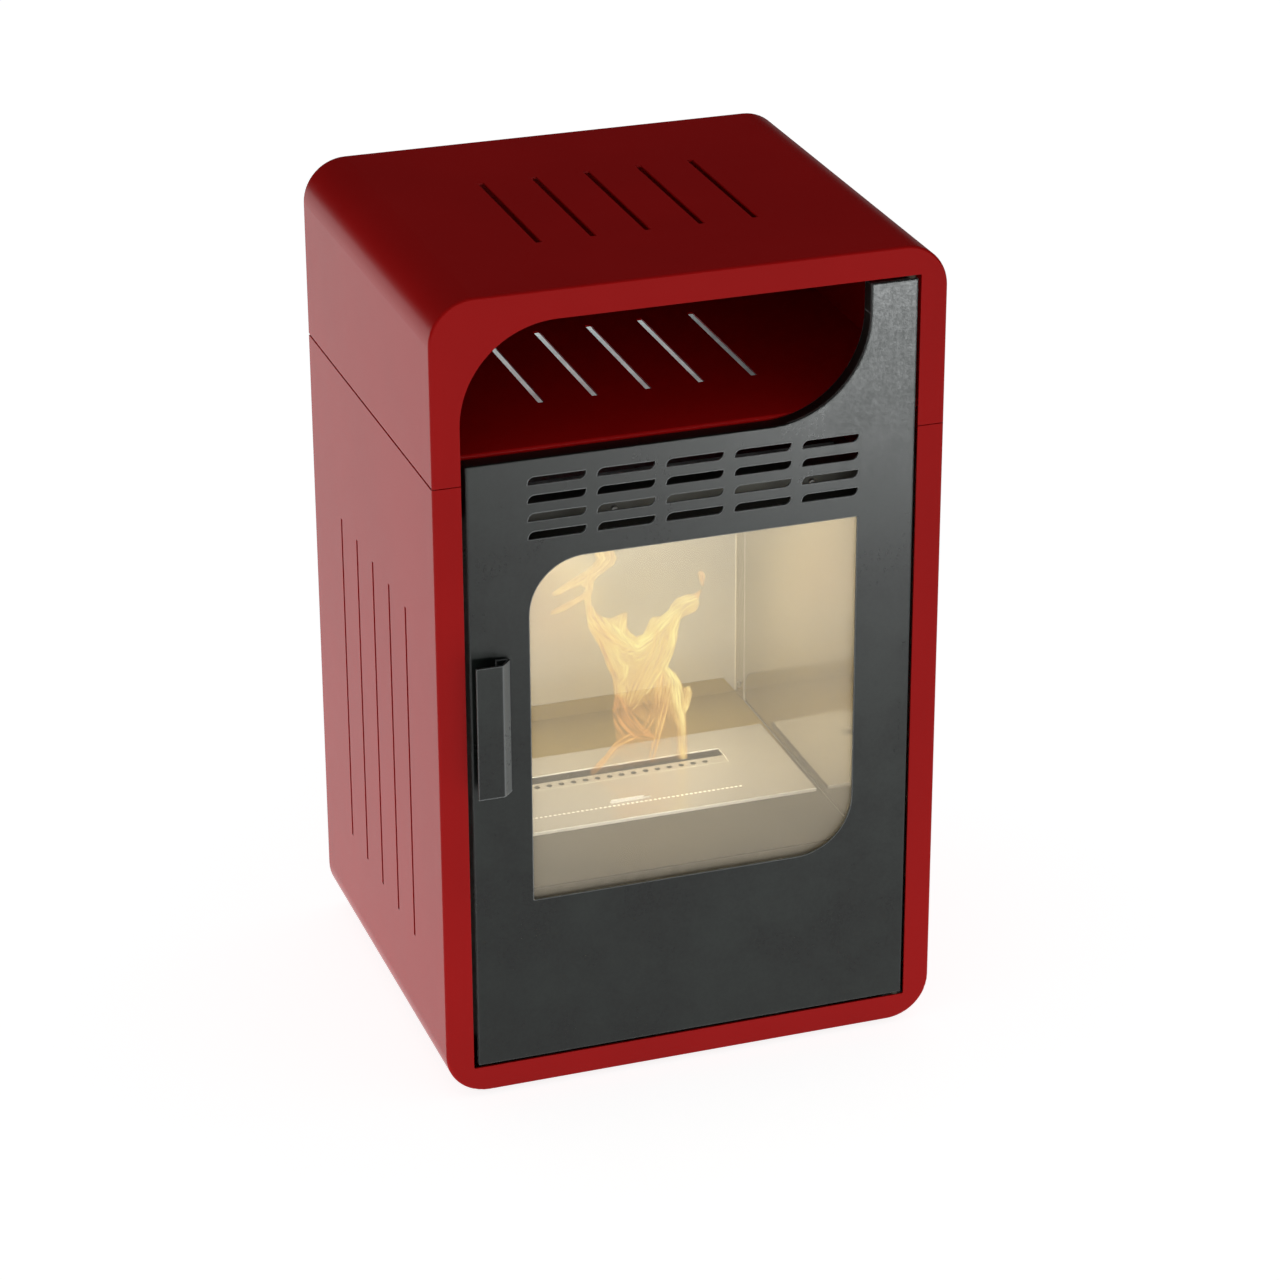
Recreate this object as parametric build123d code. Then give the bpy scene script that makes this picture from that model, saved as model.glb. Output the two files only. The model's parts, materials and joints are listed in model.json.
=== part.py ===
from build123d import *
import math
import os

# Cabinet, with widths along X, depths along Y from the front at -Y, heights along Z
cabinet_width = 523.0
cabinet_depth = 451.0
cabinet_height = 850.0
casing_sheet = 2.0
casing_corner = 45.0
casing_edge = 2.5
frame_left = 28.5
frame_right = 27.5
frame_bottom = 27.5
frame_top = 30.3
frame_corner = 1.5
niche_corner = 98.0
rear_rim = 18.0
niche_height = 165.0
seam_drop = 22.3
seam_gap = 0.8
side_seam_gap = 2.2

# Slots in the hood, the shelf and the sides
slot_count = 5
top_slot_width = 6.5
top_slot_length = 192.0
top_slot_pitch = 55.6
side_slot_width = 5.0
side_slot_length = 366.0
side_slot_pitch = 59.1
side_slot_height = 131.0

# Feet pushed into the bottom
foot_height = 6.0
foot_radius = 15.0
foot_stem_radius = 4.0
foot_edge = 1.2
foot_inset_x = 85.0
foot_inset_y = 60.0

# Niche shelf and the angle strips that carry it and bridge the seam
shelf_sheet = 2.0
shelf_setback = 21.0
shelf_lip = 10.0
joiner_sheet = 2.0
joiner_overlap = 20.0
joiner_ledge = 14.0

# Rear panel
rear_sheet = 1.0
rear_margin = 8.0
rear_slot_length = 220.0
rear_slot_width = 6.0
rear_slot_pitch = 16.0
rear_slot_rows = 6
rear_bank_low = 90.0
rear_bank_drop = 155.0
rear_screw_shares = (0.1, 0.37, 0.64, 0.9)
rear_screw_grip = 5.0

# Firebox
firebox_side_gap = 66.5
firebox_setback = 32.0
firebox_back_gap = 51.0
firebox_floor_height = 205.0
firebox_top_drop = 67.0
wall_sheet = 1.5
wall_foot = 18.0
wall_screw_rows = 3
wall_screw_pitch = 147.0
back_sheet = 1.2
back_flange = 26.0
back_screw_inset = 13.0
back_screw_drop = 20.0
back_screw_rows = 3
floor_sheet = 1.5
floor_upstand = 18.0
floor_upstand_cut = 14.0
ledge_leg = 15.0
top_flange = 22.0
crossbar_depth = 12.0
crossbar_drop = 40.0
crossbar_sheet = 1.5
flange_screw_pitch = 205.0
flange_screw_centre = 33.0
flange_screw_drop = 13.2
deflector_width = 320.0
deflector_depth = 380.0
deflector_sheet = 1.2
deflector_rise = 22.0
deflector_lip = 8.0
spacer_radius = 5.0
spacer_inset = 30.0
deflector_screw_reach = 4.0

# Burner
burner_side_gap = 6.5
burner_depth = 166.0
burner_front = 139.0
burner_rise = 3.7
burner_sheet = 1.5
burner_edge = 1.0
flame_slot_end = 65.0
flame_slot_width = 33.0
flame_slot_front = 90.5
strip_sheet = 1.2
strip_overlap = 3.0
strip_reach = 18.5
strip_end = 6.5
strip_hole_radius = 3.25
strip_hole_pitch = 13.4
strip_hole_margin = 13.0
strip_hole_line = 10.2
shutter_sheet = 1.0
shutter_margin = 2.0
shutter_end = 10.5
shutter_travel = 6.7
shutter_neck = 32.0
tab_offset = -4.6
tab_width = 36.0
tab_rise = 3.0
tab_line = 39.0
tab_slot_length = 44.4
tab_slot_width = 3.6
guide_sheet = 1.2
guide_length = 17.5
guide_start = 1.0
fine_hole_radius = 0.8
fine_hole_pitch = 5.0
fine_hole_margin = 5.0
fine_hole_line = 31.0
tank_end_gap = 23.5
tank_depth = 144.0
tank_drop = 55.0
tank_sheet = 1.5
tank_rim = 10.0
tank_rim_sheet = 1.2
wick_end_gap = 5.5
wick_drop = 14.0
tray_end_reach = 10.0
tray_side_reach = 28.0
tray_height = 20.0
tray_sheet = 1.0

# Door
latch_gap = 5.0
hinge_gap = 3.0
door_bottom_gap = 2.5
door_top_gap = 3.5
door_shelf_step = 3.2
door_stile = 48.5
door_arc = 103.0
door_sheet = 2.0
door_return = 18.0
door_edge = 1.5
door_corner = 1.5
window_margin_left = 60.9
window_margin_right = 59.2
window_margin_bottom = 178.6
window_margin_top = 106.4
window_top_left = 57.0
window_bottom_right = 60.0
window_corner = 1.0
vent_columns = 5
vent_rows = 4
vent_bridge = 11.35
vent_height = 8.1
vent_round = 7.0
vent_pitch = 18.8
vent_rise = 22.9

# Window glass and what holds it
seal_sheet = 2.0
seal_width = 8.0
seal_setback = 1.5
glass_sheet = 4.0
glass_overlap = 11.0
clip_sheet = 1.5
clip_width = 20.0
clip_tongue = 7.0
clip_foot = 9.5
clip_side_inset = 70.0
clip_top_spread = 90.0
stud_radius = 2.0
stud_length = 7.0
nut_height = 3.2
nut_flats = 7.0

# Handle
handle_height = 337.0
handle_length = 141.0
handle_inset = 1.2
handle_face = 27.2
handle_standoff = 17.0
handle_web_run = 15.9
handle_foot = 19.0
handle_sheet = 2.5
handle_bend = 1.5
handle_screw_spread = 95.0
handle_screw_line = 6.5

# Hinges
pivot_inset = 6.0
pivot_depth = 6.0
pin_radius = 2.5
pin_head_radius = 4.0
pin_head_height = 2.0
pin_reach = 11.0
pin_running_clearance = 0.05
bush_radius = 3.6
bush_flange_radius = 5.4
bush_length = 6.0
bush_seat_gap = 0.3
bracket_width = 26.0
bracket_depth = 12.0
bracket_sheet = 3.0
bracket_leg = 16.0

# Magnet catches and strikers
catch_width = 16.0
catch_height = 46.0
catch_depth = 12.0
catch_edge = 1.6
catch_inset = 39.0
catch_rise = 100.0
catch_drop = 121.8
striker_gap = 0.3
striker_sheet = 1.5
striker_height = 32.2

# Screws and shared clearances
screw_radius = 1.6
screw_head_radius = 3.3
screw_head_height = 2.2
screw_crown = 1.3
screw_recess = 0.9
screw_recess_length = 4.0
screw_clearance = 0.3
side_clearance = 0.3
slide_clearance = 0.15
cut_margin = 1.0
inner_bend = 0.5
outer_bend = 1.0

# Planes and edges worked out from the sizes above
overall_depth = handle_standoff + cabinet_depth + rear_sheet + screw_head_height
front = handle_standoff - overall_depth / 2
back = front + cabinet_depth
middle_y = (front + back) / 2
half_width = cabinet_width / 2
screw_hole_radius = screw_radius + screw_clearance
base = foot_height
top = base + cabinet_height
casing_floor = base + casing_sheet
casing_side = half_width - casing_sheet
shelf_top = top - niche_height
shelf_underside = shelf_top - shelf_sheet
seam = shelf_top - seam_drop
open_left = -half_width + frame_left
open_right = half_width - frame_right
open_bottom = base + frame_bottom
open_top = top - frame_top

door_left = open_left + latch_gap
door_right = open_right - hinge_gap
door_bottom = open_bottom + door_bottom_gap
door_top = open_top - door_top_gap
door_shoulder = shelf_top - door_shelf_step
door_inside = front + door_sheet
window_left = door_left + window_margin_left
window_right = door_right - window_margin_right
window_bottom = door_bottom + window_margin_bottom
window_top = door_shoulder - window_margin_top
vent_length = (window_right - window_left - vent_bridge * (vent_columns - 1)) / vent_columns
glass_front = door_inside + seal_sheet
glass_back = glass_front + glass_sheet
pivot_x = door_right - pivot_inset
pivot_y = front + pivot_depth

firebox_half_width = half_width - firebox_side_gap
box_front = front + firebox_setback
box_back = back - firebox_back_gap
box_floor = base + firebox_floor_height
box_top = shelf_top - firebox_top_drop
ledge_top = box_floor - floor_sheet
deflector_top = box_top + wall_sheet + deflector_rise + deflector_sheet
burner_half_width = firebox_half_width - burner_side_gap
flame_half_length = burner_half_width - flame_slot_end
tank_half_width = burner_half_width - tank_end_gap
plate_front = front + burner_front
plate_back = plate_front + burner_depth
plate_centre = (plate_front + plate_back) / 2
plate_top = box_floor + burner_rise
plate_underside = plate_top - burner_sheet
slot_front = plate_front + flame_slot_front
slot_back = slot_front + flame_slot_width
strip_back = slot_front + strip_reach
strip_underside = plate_underside - strip_sheet
shutter_top = strip_underside - slide_clearance
shutter_underside = shutter_top - shutter_sheet
tab_y = plate_front + tab_line
catch_heights = (door_bottom + catch_rise, door_shoulder - catch_drop)


def spaced(count, pitch):
    return [pitch * (index - (count - 1) / 2) for index in range(count)]


def block(x0, x1, y0, y1, z0, z1):
    centre = Pos((x0 + x1) / 2, (y0 + y1) / 2, (z0 + z1) / 2)
    return centre * Box(x1 - x0, y1 - y0, z1 - z0)


def rod(point, direction, radius, length):
    place = Plane(origin=point, z_dir=direction)
    return place * Cylinder(radius, length, align=(Align.CENTER, Align.CENTER, Align.MIN))


def outline(*corners):
    # each corner is (x, y, bend radius)
    points = [(x, y) for x, y, radius in corners]
    radii = [radius for x, y, radius in corners]
    return make_face(FilletPolyline(*points, radius=radii, close=True))


def upright(face, y, depth):
    # a face drawn in X and Z, run back from y
    return Pos(0, y, 0) * extrude(Plane.XZ * face, amount=-depth)


def standing(face, z, height):
    # a face drawn in X and Y, run up from z
    return Pos(0, 0, z) * extrude(face, amount=height)


def crosswise(face, x, length):
    # a face drawn in Y and Z, run to the right from x
    return Pos(x, 0, 0) * extrude(Plane.YZ * face, amount=length)


def group(solids):
    return Compound(children=[solid.solid() for solid in solids])


def screw(point, outward, grip):
    # head on the outward side of the point, shank running the other way
    head = Cylinder(screw_head_radius, screw_head_height, align=(Align.CENTER, Align.CENTER, Align.MIN))
    head = fillet(head.edges().sort_by(Axis.Z)[-1], screw_crown)
    shank = Cylinder(screw_radius, grip, align=(Align.CENTER, Align.CENTER, Align.MAX))
    blade = Pos(0, 0, screw_head_height) * Box(screw_recess_length, screw_recess, screw_recess * 2)
    cross = blade + Rot(0, 0, 90) * blade
    return Plane(origin=point, z_dir=outward) * (head + shank - cross)


# Casing


def frame_opening():
    return outline(
        (open_left, open_bottom, frame_corner),
        (open_right, open_bottom, frame_corner),
        (open_right, open_top, frame_corner),
        (open_left, open_top, niche_corner),
    )


def rounded_upright(inset, y, depth):
    width = cabinet_width - 2 * inset
    height = cabinet_height - 2 * inset
    face = Pos(0, base + cabinet_height / 2) * RectangleRounded(width, height, casing_corner - inset)
    return upright(face, y, depth)


def rear_screw_points():
    x = half_width - rear_rim / 2 - casing_sheet / 2
    heights = [base + cabinet_height * share for share in rear_screw_shares]
    return [(side * x, back + rear_sheet, z) for side in (-1, 1) for z in heights]


def foot_points():
    x = half_width - foot_inset_x
    y = cabinet_depth / 2 - foot_inset_y
    return [(-x, middle_y - y), (x, middle_y - y), (-x, middle_y + y), (x, middle_y + y)]


def wall_screw_points():
    x = firebox_half_width + wall_sheet + wall_foot / 2
    z = casing_floor + wall_sheet
    middle = (box_front + box_back) / 2
    rows = spaced(wall_screw_rows, wall_screw_pitch)
    return [(side * x, middle + row, z) for side in (-1, 1) for row in rows]


def casing_shell():
    shell = rounded_upright(0, front, cabinet_depth)
    shell = fillet(shell.faces().sort_by(Axis.Y)[0].edges(), casing_edge)
    shell -= rounded_upright(casing_sheet, front + casing_sheet, cabinet_depth - 2 * casing_sheet)
    shell -= upright(frame_opening(), front - cut_margin, casing_sheet + 2 * cut_margin)
    shell -= rounded_upright(rear_rim, back - casing_sheet - cut_margin, casing_sheet + 2 * cut_margin)
    for x in spaced(slot_count, top_slot_pitch):
        shell -= top_slot(x, top - casing_sheet, casing_sheet)
    reach = half_width + cut_margin
    low = base + side_slot_height
    for y in spaced(slot_count, side_slot_pitch):
        y0, y1 = middle_y + y - side_slot_width / 2, middle_y + y + side_slot_width / 2
        shell -= block(-reach, reach, y0, y1, low, low + side_slot_length)
    # behind the front edge the seam between the two halves opens up on both sides
    low, high = seam - side_seam_gap / 2, seam + side_seam_gap / 2
    for x0, x1 in ((-reach, -casing_side), (casing_side, reach)):
        shell -= block(x0, x1, front + casing_edge, back + cut_margin, low, high)
    for point in rear_screw_points():
        shell -= rod(point, (0, -1, 0), screw_hole_radius, rear_sheet + casing_sheet + cut_margin)
    for x, y in foot_points():
        shell -= rod((x, y, base - cut_margin), (0, 0, 1), foot_stem_radius + screw_clearance, casing_floor)
    for x, y, z in wall_screw_points():
        shell -= rod((x, y, base - cut_margin), (0, 0, 1), screw_hole_radius, 2 * casing_sheet)
    return shell


def top_slot(x, z, sheet):
    y0, y1 = middle_y - top_slot_length / 2, middle_y + top_slot_length / 2
    half = top_slot_width / 2
    return block(x - half, x + half, y0, y1, z - cut_margin, z + sheet + cut_margin)


def casing_half(shell, low, high):
    reach = half_width + cut_margin
    return shell & block(-reach, reach, front - cut_margin, back + cut_margin, low, high)


def niche_shelf():
    y0 = front + shelf_setback
    y1 = back - casing_sheet - side_clearance
    low = shelf_top - shelf_lip
    profile = outline(
        (y0, low, 0),
        (y0, shelf_top, shelf_sheet + inner_bend),
        (y1, shelf_top, 0),
        (y1, shelf_underside, 0),
        (y0 + shelf_sheet, shelf_underside, inner_bend),
        (y0 + shelf_sheet, low, 0),
    )
    edge = casing_side - side_clearance
    shelf = crosswise(profile, -edge, 2 * edge)
    for x in spaced(slot_count, top_slot_pitch):
        shelf -= top_slot(x, shelf_underside, shelf_sheet)
    return shelf


def seam_joiner(side):
    outer = casing_side
    inner = casing_side - joiner_sheet
    low = seam - joiner_overlap
    profile = outline(
        (-outer, low, 0),
        (-outer, shelf_underside, 0),
        (-outer + joiner_ledge, shelf_underside, 0),
        (-outer + joiner_ledge, shelf_underside - joiner_sheet, 0),
        (-inner, shelf_underside - joiner_sheet, 0),
        (-inner, low, 0),
    )
    y0 = front + shelf_setback + 2 * shelf_sheet
    joiner = upright(profile, y0, back - casing_sheet - side_clearance - y0)
    return joiner if side < 0 else mirror(joiner, Plane.YZ)


def rear_panel():
    panel = rounded_upright(rear_margin, back, rear_sheet)
    for bank in (base + rear_bank_low, shelf_top - rear_bank_drop):
        for row in range(rear_slot_rows):
            z = bank + row * rear_slot_pitch
            face = Pos(0, z) * SlotOverall(rear_slot_length, rear_slot_width)
            panel -= upright(face, back - cut_margin, rear_sheet + 2 * cut_margin)
    for point in rear_screw_points():
        panel -= rod(point, (0, -1, 0), screw_hole_radius, rear_sheet + cut_margin)
    return panel


def foot(x, y):
    pad = rod((x, y, 0), (0, 0, 1), foot_radius, foot_height)
    pad = fillet(pad.edges().sort_by(Axis.Z)[0], foot_edge)
    return pad + rod((x, y, foot_height), (0, 0, 1), foot_stem_radius, 2 * casing_sheet)


# Firebox


def firebox_wall(side):
    inner = firebox_half_width
    outer = inner + wall_sheet
    edge = casing_side - side_clearance
    plan = outline(
        (-inner, box_front, wall_sheet + outer_bend),
        (-inner, box_back + back_sheet, 0),
        (-outer, box_back + back_sheet, 0),
        (-outer, box_front + wall_sheet, outer_bend),
        (-edge, box_front + wall_sheet, 0),
        (-edge, box_front, 0),
    )
    wall = standing(plan, casing_floor, box_top - casing_floor)
    clear = base + casing_corner + casing_sheet
    wall -= block(-half_width, -outer - cut_margin, front, box_front + 2 * wall_sheet, base, clear)
    foot_y = box_front + 2 * wall_sheet
    wall += block(-outer - wall_foot, -outer, foot_y, box_back, casing_floor, casing_floor + wall_sheet)
    for x, y, z in wall_screw_points():
        wall -= rod((x, y, base), (0, 0, 1), screw_hole_radius, casing_sheet + 2 * wall_sheet)
    for x, y, z in back_screw_points():
        wall -= rod((-half_width, y, z), (1, 0, 0), screw_hole_radius, half_width)
    return wall if side < 0 else mirror(wall, Plane.YZ)


def back_screw_points():
    x = firebox_half_width - back_sheet
    y = box_back - back_screw_inset
    low = box_floor + back_screw_inset
    pitch = (box_top - back_screw_drop - low) / (back_screw_rows - 1)
    heights = [low + row * pitch for row in range(back_screw_rows)]
    return [(side * x, y, z) for side in (-1, 1) for z in heights]


def firebox_back():
    outer = firebox_half_width
    inner = outer - back_sheet
    y0 = box_back - back_flange
    y1 = box_back + back_sheet
    plan = outline(
        (-outer, y0, 0),
        (-outer, y1, back_sheet + inner_bend),
        (outer, y1, back_sheet + inner_bend),
        (outer, y0, 0),
        (inner, y0, 0),
        (inner, box_back, inner_bend),
        (-inner, box_back, inner_bend),
        (-inner, y0, 0),
    )
    panel = standing(plan, casing_floor, box_top - casing_floor)
    for x, y, z in back_screw_points():
        panel -= rod((-half_width, y, z), (1, 0, 0), screw_hole_radius, cabinet_width)
    return panel


def firebox_floor():
    edge = firebox_half_width - back_sheet - side_clearance
    y1 = box_back - side_clearance
    floor = block(-edge, edge, box_front, y1, ledge_top, box_floor)
    upstand = outline(
        (-edge, ledge_top, 0),
        (edge, ledge_top, 0),
        (edge, box_floor, 0),
        (edge - floor_upstand_cut, box_floor + floor_upstand, 0),
        (-edge + floor_upstand_cut, box_floor + floor_upstand, 0),
        (-edge, box_floor, 0),
    )
    floor += upright(upstand, y1 - floor_sheet, floor_sheet)
    half = tank_half_width + side_clearance
    y0 = plate_centre - tank_depth / 2 - side_clearance
    y1 = plate_centre + tank_depth / 2 + side_clearance
    return floor - block(-half, half, y0, y1, ledge_top - cut_margin, box_floor + cut_margin)


def floor_ledge(side):
    outer = firebox_half_width
    profile = outline(
        (-outer, ledge_top, 0),
        (-outer + ledge_leg, ledge_top, 0),
        (-outer + ledge_leg, ledge_top - wall_sheet, 0),
        (-outer + wall_sheet, ledge_top - wall_sheet, 0),
        (-outer + wall_sheet, ledge_top - ledge_leg, 0),
        (-outer, ledge_top - ledge_leg, 0),
    )
    y0 = box_front + 2 * wall_sheet
    ledge = upright(profile, y0, box_back - back_flange - side_clearance - y0)
    return ledge if side < 0 else mirror(ledge, Plane.YZ)


def front_apron():
    edge = firebox_half_width - side_clearance
    return block(-edge, edge, box_front, box_front + wall_sheet, casing_floor, ledge_top)


def flange_screw_points():
    z = box_top - flange_screw_drop
    return [(flange_screw_centre + x, box_front, z) for x in spaced(2, flange_screw_pitch)]


def firebox_top():
    outer = firebox_half_width + wall_sheet
    inner = firebox_half_width - side_clearance
    lid = block(-outer, outer, box_front, box_back + back_sheet, box_top, box_top + wall_sheet)
    lid += block(-inner, inner, box_front, box_front + wall_sheet, box_top - top_flange, box_top)
    for point in flange_screw_points():
        lid -= rod(point, (0, 1, 0), screw_hole_radius, 2 * wall_sheet)
    for x, y in spacer_points():
        lid -= rod((x, y, box_top - cut_margin), (0, 0, 1), screw_hole_radius, 2 * wall_sheet)
    return lid


def firebox_crossbar():
    # a curtain strip that hangs below the flange, with a ledge welded along its back
    edge = firebox_half_width - side_clearance
    y0 = box_front + wall_sheet
    y1 = y0 + crossbar_sheet
    curtain = block(-edge, edge, y0, y1, box_top - crossbar_drop, box_top)
    ledge = block(-edge, edge, y1, y0 + crossbar_depth, box_top - crossbar_sheet, box_top)
    for point in flange_screw_points():
        curtain -= rod(point, (0, 1, 0), screw_hole_radius, crossbar_depth)
    return group([curtain, ledge])


def spacer_points():
    x = deflector_width / 2 - spacer_inset
    y = deflector_depth / 2 - spacer_inset
    return [(-x, middle_y - y), (x, middle_y - y), (-x, middle_y + y), (x, middle_y + y)]


def heat_deflector():
    z = deflector_top - deflector_sheet
    half = deflector_width / 2
    y0, y1 = middle_y - deflector_depth / 2, middle_y + deflector_depth / 2
    plate = block(-half, half, y0, y1, z, deflector_top)
    for y in (y0, y1 - deflector_sheet):
        plate += block(-half, half, y, y + deflector_sheet, z - deflector_lip, z)
    for x, y in spacer_points():
        plate -= rod((x, y, z - cut_margin), (0, 0, 1), screw_hole_radius, 3 * deflector_sheet)
    return plate


def deflector_spacer(x, y):
    low = (x, y, box_top + wall_sheet)
    tube = rod(low, (0, 0, 1), spacer_radius, deflector_rise)
    return tube - rod(low, (0, 0, 1), screw_hole_radius, deflector_rise)


# Burner


def fuel_tank():
    # floor, front and back walls, end walls and the strips of the rim, welded along their edges
    half = tank_half_width
    inner = half - tank_sheet
    y0 = plate_centre - tank_depth / 2
    y1 = plate_centre + tank_depth / 2
    inner_y0, inner_y1 = y0 + tank_sheet, y1 - tank_sheet
    low = box_floor - tank_drop
    floor_top = low + tank_sheet
    rim_top = box_floor + tank_rim_sheet
    reach = half + tank_rim
    sheets = [
        block(-half, half, y0, y1, low, floor_top),
        block(-half, half, y0, inner_y0, floor_top, box_floor),
        block(-half, half, inner_y1, y1, floor_top, box_floor),
        block(-reach, reach, y0 - tank_rim / 2, inner_y0, box_floor, rim_top),
        block(-reach, reach, inner_y1, y1 + tank_rim / 2, box_floor, rim_top),
    ]
    for low_x, high_x in ((-half, -inner), (inner, half)):
        sheets.append(block(low_x, high_x, inner_y0, inner_y1, floor_top, box_floor))
    for low_x, high_x in ((-reach, -inner), (inner, reach)):
        sheets.append(block(low_x, high_x, inner_y0, inner_y1, box_floor, rim_top))
    return group(sheets)


def fibre_wick():
    low = box_floor - tank_drop + tank_sheet
    half = flame_half_length - wick_end_gap
    return block(-half, half, strip_back, slot_back, low, box_floor - wick_drop)


def burner_plate():
    half = burner_half_width
    plate = block(-half, half, plate_front, plate_back, box_floor, plate_top)
    plate = fillet(plate.faces().sort_by(Axis.Z)[-1].edges(), burner_edge)
    inner = half - burner_sheet
    y0, y1 = plate_front + burner_sheet, plate_back - burner_sheet
    plate -= block(-inner, inner, y0, y1, box_floor - cut_margin, plate_underside)
    half_slot, clear = flame_half_length, plate_top + cut_margin
    plate -= block(-half_slot, half_slot, slot_front, slot_back, box_floor, clear)
    left_end, right_end = tab_offset - tab_slot_length / 2, tab_offset + tab_slot_length / 2
    reach = tab_slot_width / 2
    plate -= block(left_end, right_end, tab_y - reach, tab_y + reach, box_floor, clear)
    line = plate_front + fine_hole_line
    count = int(2 * (flame_half_length - fine_hole_margin) / fine_hole_pitch)
    for x in spaced(count, fine_hole_pitch):
        plate -= rod((x, line, box_floor), (0, 0, 1), fine_hole_radius, burner_rise + cut_margin)
    return plate


def hole_row(plate, z):
    line = slot_front + strip_hole_line
    count = int(2 * (flame_half_length - strip_hole_margin) / strip_hole_pitch)
    for x in spaced(count, strip_hole_pitch):
        plate -= rod((x, line, z - 2 * strip_sheet), (0, 0, 1), strip_hole_radius, 4 * strip_sheet)
    return plate


def flame_strip():
    half = flame_half_length + strip_end
    y0 = slot_front - strip_overlap
    return hole_row(block(-half, half, y0, strip_back, strip_underside, plate_underside), strip_underside)


def air_shutter():
    # holes stand under the strip's holes at rest and half a pitch away when shut
    shift = -shutter_travel / 2
    half = flame_half_length + shutter_end
    y0, y1 = slot_front - strip_overlap, strip_back - shutter_margin
    shutter = block(shift - half, shift + half, y0, y1, shutter_underside, shutter_top)
    neck = shutter_neck / 2
    middle = shift + tab_offset
    back_of_tab = tab_y - shutter_sheet / 2
    shutter += block(middle - neck, middle + neck, back_of_tab, y0, shutter_underside, shutter_top)
    tab = tab_width / 2
    tab_top = plate_top + tab_rise
    tab_front = back_of_tab + shutter_sheet
    shutter += block(middle - tab, middle + tab, back_of_tab, tab_front, shutter_underside, tab_top)
    return hole_row(shutter, shutter_underside)


def shutter_guide(side):
    y0 = slot_front - strip_overlap - side_clearance
    y1 = strip_back + side_clearance
    floor_top = shutter_underside - slide_clearance
    profile = outline(
        (y0 - guide_sheet, plate_underside, 0),
        (y0 - guide_sheet, floor_top - guide_sheet, 0),
        (y1 + guide_sheet, floor_top - guide_sheet, 0),
        (y1 + guide_sheet, plate_underside, 0),
        (y1, plate_underside, 0),
        (y1, floor_top, 0),
        (y0, floor_top, 0),
        (y0, plate_underside, 0),
    )
    start = flame_half_length + guide_start
    guide = crosswise(profile, start, guide_length)
    return guide if side > 0 else mirror(guide, Plane.YZ)


def drip_tray():
    half = tank_half_width + tray_end_reach
    y0 = plate_centre - tank_depth / 2 - tray_side_reach
    y1 = plate_centre + tank_depth / 2 + tray_side_reach
    tray = block(-half, half, y0, y1, casing_floor, casing_floor + tray_height)
    wall = tray_sheet
    return tray - block(-half + wall, half - wall, y0 + wall, y1 - wall, casing_floor + wall, box_floor)


# Door


def door_outline(inset):
    # the rounded inner corner stands where the stile meets the shoulder
    return outline(
        (door_left + inset, door_bottom + inset, door_corner),
        (door_right - inset, door_bottom + inset, door_corner),
        (door_right - inset, door_top - inset, door_corner),
        (door_right - door_stile + inset, door_top - inset, door_corner),
        (door_right - door_stile + inset, door_shoulder - inset, door_arc + inset),
        (door_left + inset, door_shoulder - inset, door_corner),
    )


def leaf(x0, x1, z0, z1, top_left, bottom_right, sharp):
    return outline((x0, z0, sharp), (x1, z0, bottom_right), (x1, z1, sharp), (x0, z1, top_left))


def vent_faces():
    for column in range(vent_columns):
        for row in range(vent_rows):
            x = window_left + column * (vent_length + vent_bridge)
            z = window_top + vent_rise + row * vent_pitch
            yield leaf(x, x + vent_length, z, z + vent_height, vent_round, vent_round, 0)


def clip_places():
    # point on the edge of the glass and the direction away from it
    left, right, low, high = glass_edges()
    middle = (left + right) / 2
    for z in (low + clip_side_inset, high - clip_side_inset):
        yield left, z, (-1, 0, 0)
        yield right, z, (1, 0, 0)
    for x in (middle - clip_top_spread, middle + clip_top_spread):
        yield x, low, (0, 0, -1)
        yield x, high, (0, 0, 1)


def stud_points():
    reach = side_clearance + clip_sheet + clip_foot / 2
    return [(x + reach * away[0], z + reach * away[2]) for x, z, away in clip_places()]


def door_panel():
    door = upright(door_outline(0), front, door_sheet)
    door = fillet(door.faces().sort_by(Axis.Y)[0].edges(), door_edge)
    sides = (window_left, window_right, window_bottom, window_top)
    window = leaf(*sides, window_top_left, window_bottom_right, window_corner)
    door -= upright(window, front - cut_margin, door_return)
    for face in vent_faces():
        door -= upright(face, front - cut_margin, door_sheet + 2 * cut_margin)
    root = door_sheet / 2
    for x, z in stud_points():
        door += rod((x, door_inside - root, z), (0, 1, 0), stud_radius, stud_length + root)
    for x, y, z in handle_screw_points():
        door -= rod((x, front - cut_margin, z), (0, 1, 0), screw_hole_radius, door_return)
    # the sheet and its upper arm, butt welded at the shoulder and ground flush
    depth = (front - cut_margin, front + door_return)
    sheet = door & block(-half_width, half_width, *depth, base, door_shoulder)
    arm = door & block(-half_width, half_width, *depth, door_shoulder, top)
    return group([sheet, arm])


def door_rim(x0, x1, z0, z1):
    # the part of the rim behind the door sheet that lies between these planes
    depth = door_return - door_sheet
    rim = upright(door_outline(0) - door_outline(door_sheet), door_inside, depth)
    bore = bush_radius + screw_clearance / 2
    for z in (door_bottom - cut_margin, door_top - door_sheet - cut_margin):
        rim -= rod((pivot_x, pivot_y, z), (0, 0, 1), bore, door_sheet + 2 * cut_margin)
    return rim & block(x0, x1, front, front + 2 * door_return, z0, z1)


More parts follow.
